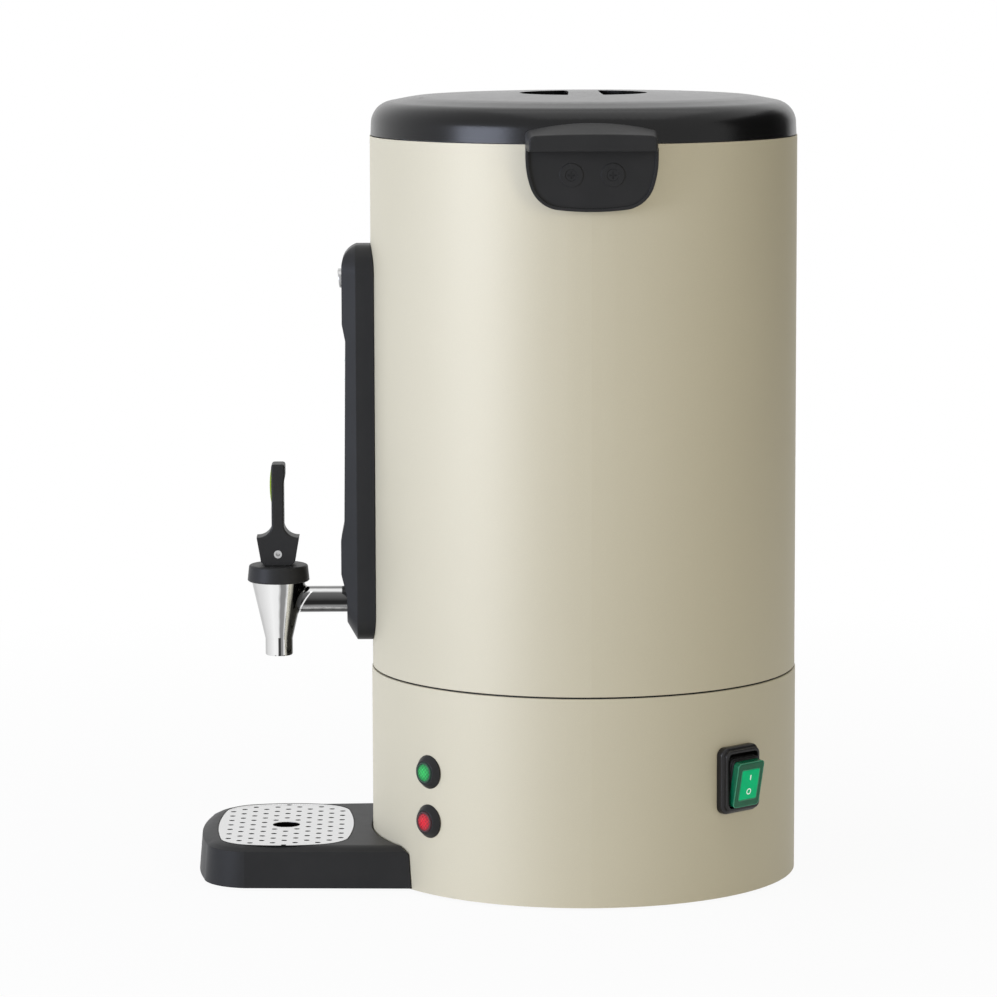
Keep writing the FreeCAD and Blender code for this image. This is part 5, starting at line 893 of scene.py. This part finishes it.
# %% Rounded plates
EDGE_STEPS = 4
CROWN_STEPS = ((1.4, 0.5), (3.4, 0.85))


def rounded_outline(width, height, corner, steps=7):
    points = []
    for number, (sx, sy) in enumerate(((1, 1), (-1, 1), (-1, -1), (1, -1))):
        middle = (sx * (width / 2 - corner), sy * (height / 2 - corner))
        for step in range(steps):
            angle = math.pi / 2 * (number + step / (steps - 1))
            points.append((
                middle[0] + corner * math.cos(angle), middle[1] + corner * math.sin(angle),
            ))
    return points


def soft_plate(name, width, height, corner, thick, edge, crown, finish, place):
    """A plate with a rounded front edge and a slightly crowned face, in millimetres."""
    shape = bmesh.new()
    layers = [(0.0, 0.0)]
    for step in range(EDGE_STEPS + 1):
        angle = math.pi / 2 * step / EDGE_STEPS
        layers.append((
            edge * (1.0 - math.cos(angle)), thick - edge + edge * math.sin(angle),
        ))
    if crown > 0.0:
        layers += [(edge + inset, thick + crown * share) for inset, share in CROWN_STEPS]
    rings = []
    for inset, level in layers:
        outline = rounded_outline(
            width - 2 * inset, height - 2 * inset, max(corner - inset * 0.6, 0.3),
        )
        rings.append([shape.verts.new((x * MM, y * MM, level * MM)) for x, y in outline])
    join_rings(shape, rings)
    shape.faces.new(reversed(rings[0]))
    top = shape.verts.new((0.0, 0.0, (thick + crown) * MM))
    for side in range(len(rings[-1])):
        shape.faces.new((rings[-1][side], rings[-1][(side + 1) % len(rings[-1])], top))
    return placed(shape, name, finish, place, 40.0)


print("a plate's outline has", len(rounded_outline(2.0, 2.0, 0.5)), "points")

# %% [markdown]
# ## The switch's window
# The rocker lies under a green boot, and the boot has a thicker clear window in its middle.
# Where the boot bends, at its rim and round the window, a thin bead runs along both: its round
# shape catches real light, and its paler green is a painted highlight along the bends. The whole
# face of the switch is tipped by the rocker: one matrix goes out to the rocker's pivot, tips
# there, goes on to the boot's face and turns a plate that was drawn flat to face outwards. All
# pieces on the boot share it.

# %% Switch window
SWITCH_AZIMUTH = math.radians(42.2)
ROCKER_TILT = math.radians(10.5)
PIVOT_OUT, PIVOT_LEVEL, BOOT_RISE = 131.5, 74.1, 12.6
boot_face = (
    Matrix.Rotation(SWITCH_AZIMUTH, 4, "Z")
    @ shift(x=PIVOT_OUT, z=PIVOT_LEVEL)
    @ Matrix.Rotation(ROCKER_TILT, 4, "Y")
    @ shift(x=BOOT_RISE)
    @ Matrix(((0, 0, 1, 0), (1, 0, 0, 0), (0, 1, 0, 0), (0, 0, 0, 1)))
)
window = soft_plate(
    "switch_window", 14.8, 18.8, 0.8, 0.45, 0.3, 0.12, "green_window",
    boot_face @ shift(z=-0.05),
)
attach(window, "switch_key")

for side, width, height, corner, level in (
    ("outer", 21.9, 27.9, 2.2, -0.35), ("inner", 15.5, 19.5, 1.2, 0.0),
):
    # Beads in the paler green: painted highlights along the boot's bends, on real round beads.
    rim = bead(
        f"switch_rim_{side}", rounded_outline(width, height, corner), 0.0, 0.35, "green_edge",
        boot_face @ shift(z=level),
    )
    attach(rim, "switch_key")

# %% [markdown]
# ## The switch's marks
# The rocker's I and O show through the window. They could be drawn into the window's finish,
# but as pieces of their own, a small plate and a flat ring, they stay crisp in a close view.
# They stand just proud of the window and glow faintly, from the lamp behind them.

# %% Switch marks
on_mark = soft_plate(
    "switch_mark_on", 0.9, 3.4, 0.4, 0.1, 0.05, 0.0, "mark_white",
    boot_face @ shift(y=4.6, z=0.42),
)
off_mark = turned(
    "switch_mark_off", [(1.35, 0.0), (1.35, 0.2), (1.95, 0.2), (1.95, 0.0)], 28, "mark_white",
    boot_face @ shift(y=-4.4, z=0.36),
)
for mark in (on_mark, off_mark):
    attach(mark, "switch_key")

# %% [markdown]
# ## The studio's floor
# A product like this is photographed on white with large soft lights. Paper that is only lit
# would turn grey away from the lamps, so the floor is a wide disc with two natures. What the
# camera and the reflections see of it is mostly a plain white glow, and only the small rest is
# lit, so that the urn leaves a soft shadow under itself. Further out the glow takes over
# completely, and the floor meets the white world without a line.


# %% Floor
WHITE = (1.0, 1.0, 1.0, 1.0)
GLOW_SHARE = 0.93
FADE_OUT = 1.1


def seen_white(tree):
    """1 for rays from the camera and through or off clear and shiny things, else 0."""
    path = tree.node_tree.nodes.new("ShaderNodeLightPath")
    seen, shiny, clear = (
        Wire(tree, path.outputs[f"Is {kind} Ray"]) for kind in ("Camera", "Glossy", "Transmission")
    )
    return tree.sum("MINIMUM", seen + shiny + clear, 1.0)


disc = bmesh.new()
bmesh.ops.create_circle(disc, cap_ends=True, radius=6.0, segments=64)
floor = added("studio_floor", mesh_from(disc, "studio_floor"))
paper = Finish("studio_paper", (0.82, 0.82, 0.82), 0.9)
spread = (paper.axis("X") ** 2.0 + paper.axis("Y") ** 2.0) ** 0.5
fade = paper.sum("MINIMUM", spread / FADE_OUT, 1.0)
white = paper.node("ShaderNodeEmission", {"Color": WHITE, "Strength": 1.0})
glow_share = (GLOW_SHARE + (1.0 - GLOW_SHARE) * fade) * seen_white(paper)
surface = paper.node("ShaderNodeMixShader", {
    0: glow_share, 1: Wire(paper, paper.shader.outputs[0]), 2: white,
})
paper.feed(paper.node_tree.nodes["Material Output"].inputs["Surface"], surface)
floor.data.materials.append(finishes["studio_paper"])
print("the floor glows by", GLOW_SHARE, "and fully from", FADE_OUT, "m out")

# %% [markdown]
# ## The world
# A white world would also light the urn from all round and make the drum look flat. So the
# world has two strengths: white where it is seen or mirrored, and much weaker where it lights
# the urn, and the lamps shape the drum. The colours are shown as they are, without a film's
# curve, so that white stays white.

# %% World
WORLD_LIGHT = 0.19
world = bpy.data.worlds.new("studio")
bpy.context.scene.world = world
world.use_nodes = True
sky = Tree(world.node_tree)
lighting, shown = (
    sky.node("ShaderNodeBackground", {"Color": WHITE, "Strength": strength})
    for strength in (WORLD_LIGHT, 1.0)
)
both = sky.node("ShaderNodeMixShader", {0: seen_white(sky), 1: lighting, 2: shown})
sky.feed(world.node_tree.nodes["World Output"].inputs["Surface"], both)
bpy.context.scene.view_settings.view_transform = "Standard"
print("colours are shown as", bpy.context.scene.view_settings.view_transform)

# %% [markdown]
# ## Lights
# A drum shows every lamp as an upright band, so each band gets a lamp of its own. The key light
# is a wide cool box in front, on the left of the camera. It puts the broad bright band left of
# the drum's middle and lets the right side fall off. A narrow warm box on the right fills that
# side a little. A third box stands straight before the tap, at the far left of the view, for the
# drum's left edge, and one above gives the lid its pale sheen. Only the key and the one above
# are mirrored by shiny pieces: the others would burn out the lid in views from behind.


# %% Lights
COOL = (0.755, 0.813, 1.0)
WARM = (1.0, 0.92, 0.74)


def aimed(spot, target):
    """The matrix of a lamp or card that stands at a spot and faces a target."""
    aim = (Vector(target) - Vector(spot)).to_track_quat("-Z", "Y")
    return Matrix.Translation(Vector(spot)) @ aim.to_matrix().to_4x4()


def soft_box(name, spot, level, width, height, power, colour, mirrored=False):
    """A rectangular light that faces a level of the urn's axis."""
    data = bpy.data.lights.new(name, "AREA")
    data.shape = "RECTANGLE"
    data.size = width
    data.size_y = height
    data.energy = power
    data.color = colour
    lamp = added(name, data)
    lamp.matrix_world = aimed(spot, (0.0, 0.0, level))
    lamp.visible_glossy = mirrored


soft_box("key", (1.35, -2.05, 0.58), 0.3, 1.3, 1.1, 39.0, COOL, mirrored=True)
soft_box("fill", (2.3, 1.3, 0.8), 0.25, 0.6, 1.5, 17.0, WARM)
soft_box("rim", (0.0, -2.5, 0.5), 0.3, 1.2, 1.0, 16.0, COOL)
soft_box("top", (0.0, 0.2, 2.2), 0.3, 1.8, 1.8, 9.0, WHITE[:3], mirrored=True)
print(len(bpy.data.lights), "lights")

# %% [markdown]
# ## The dark card
# The lid and the drum mirror the white world at their right edge, which makes them pale there. A
# weaker world would dim everything else too, so a dark card stands far back on the right, where
# it takes the white out of that edge only, as a photographer's black flag does. The camera
# doesn't see the card itself, and it casts no shadow.

# %% Dark card
sheet = bmesh.new()
bmesh.ops.create_grid(sheet, x_segments=1, y_segments=1, size=0.5)
card = added("card_right", mesh_from(sheet, "card_right"))
stretch = Matrix.Diagonal((2.2, 1.6, 1.0, 1.0))
card.data.transform(aimed((-0.7, 1.7, 0.7), (0.0, 0.0, 0.4)) @ stretch)
card.data.materials.append(finishes["rubber"])
card.visible_camera = False
card.visible_shadow = False
print("the card is seen only in reflections")
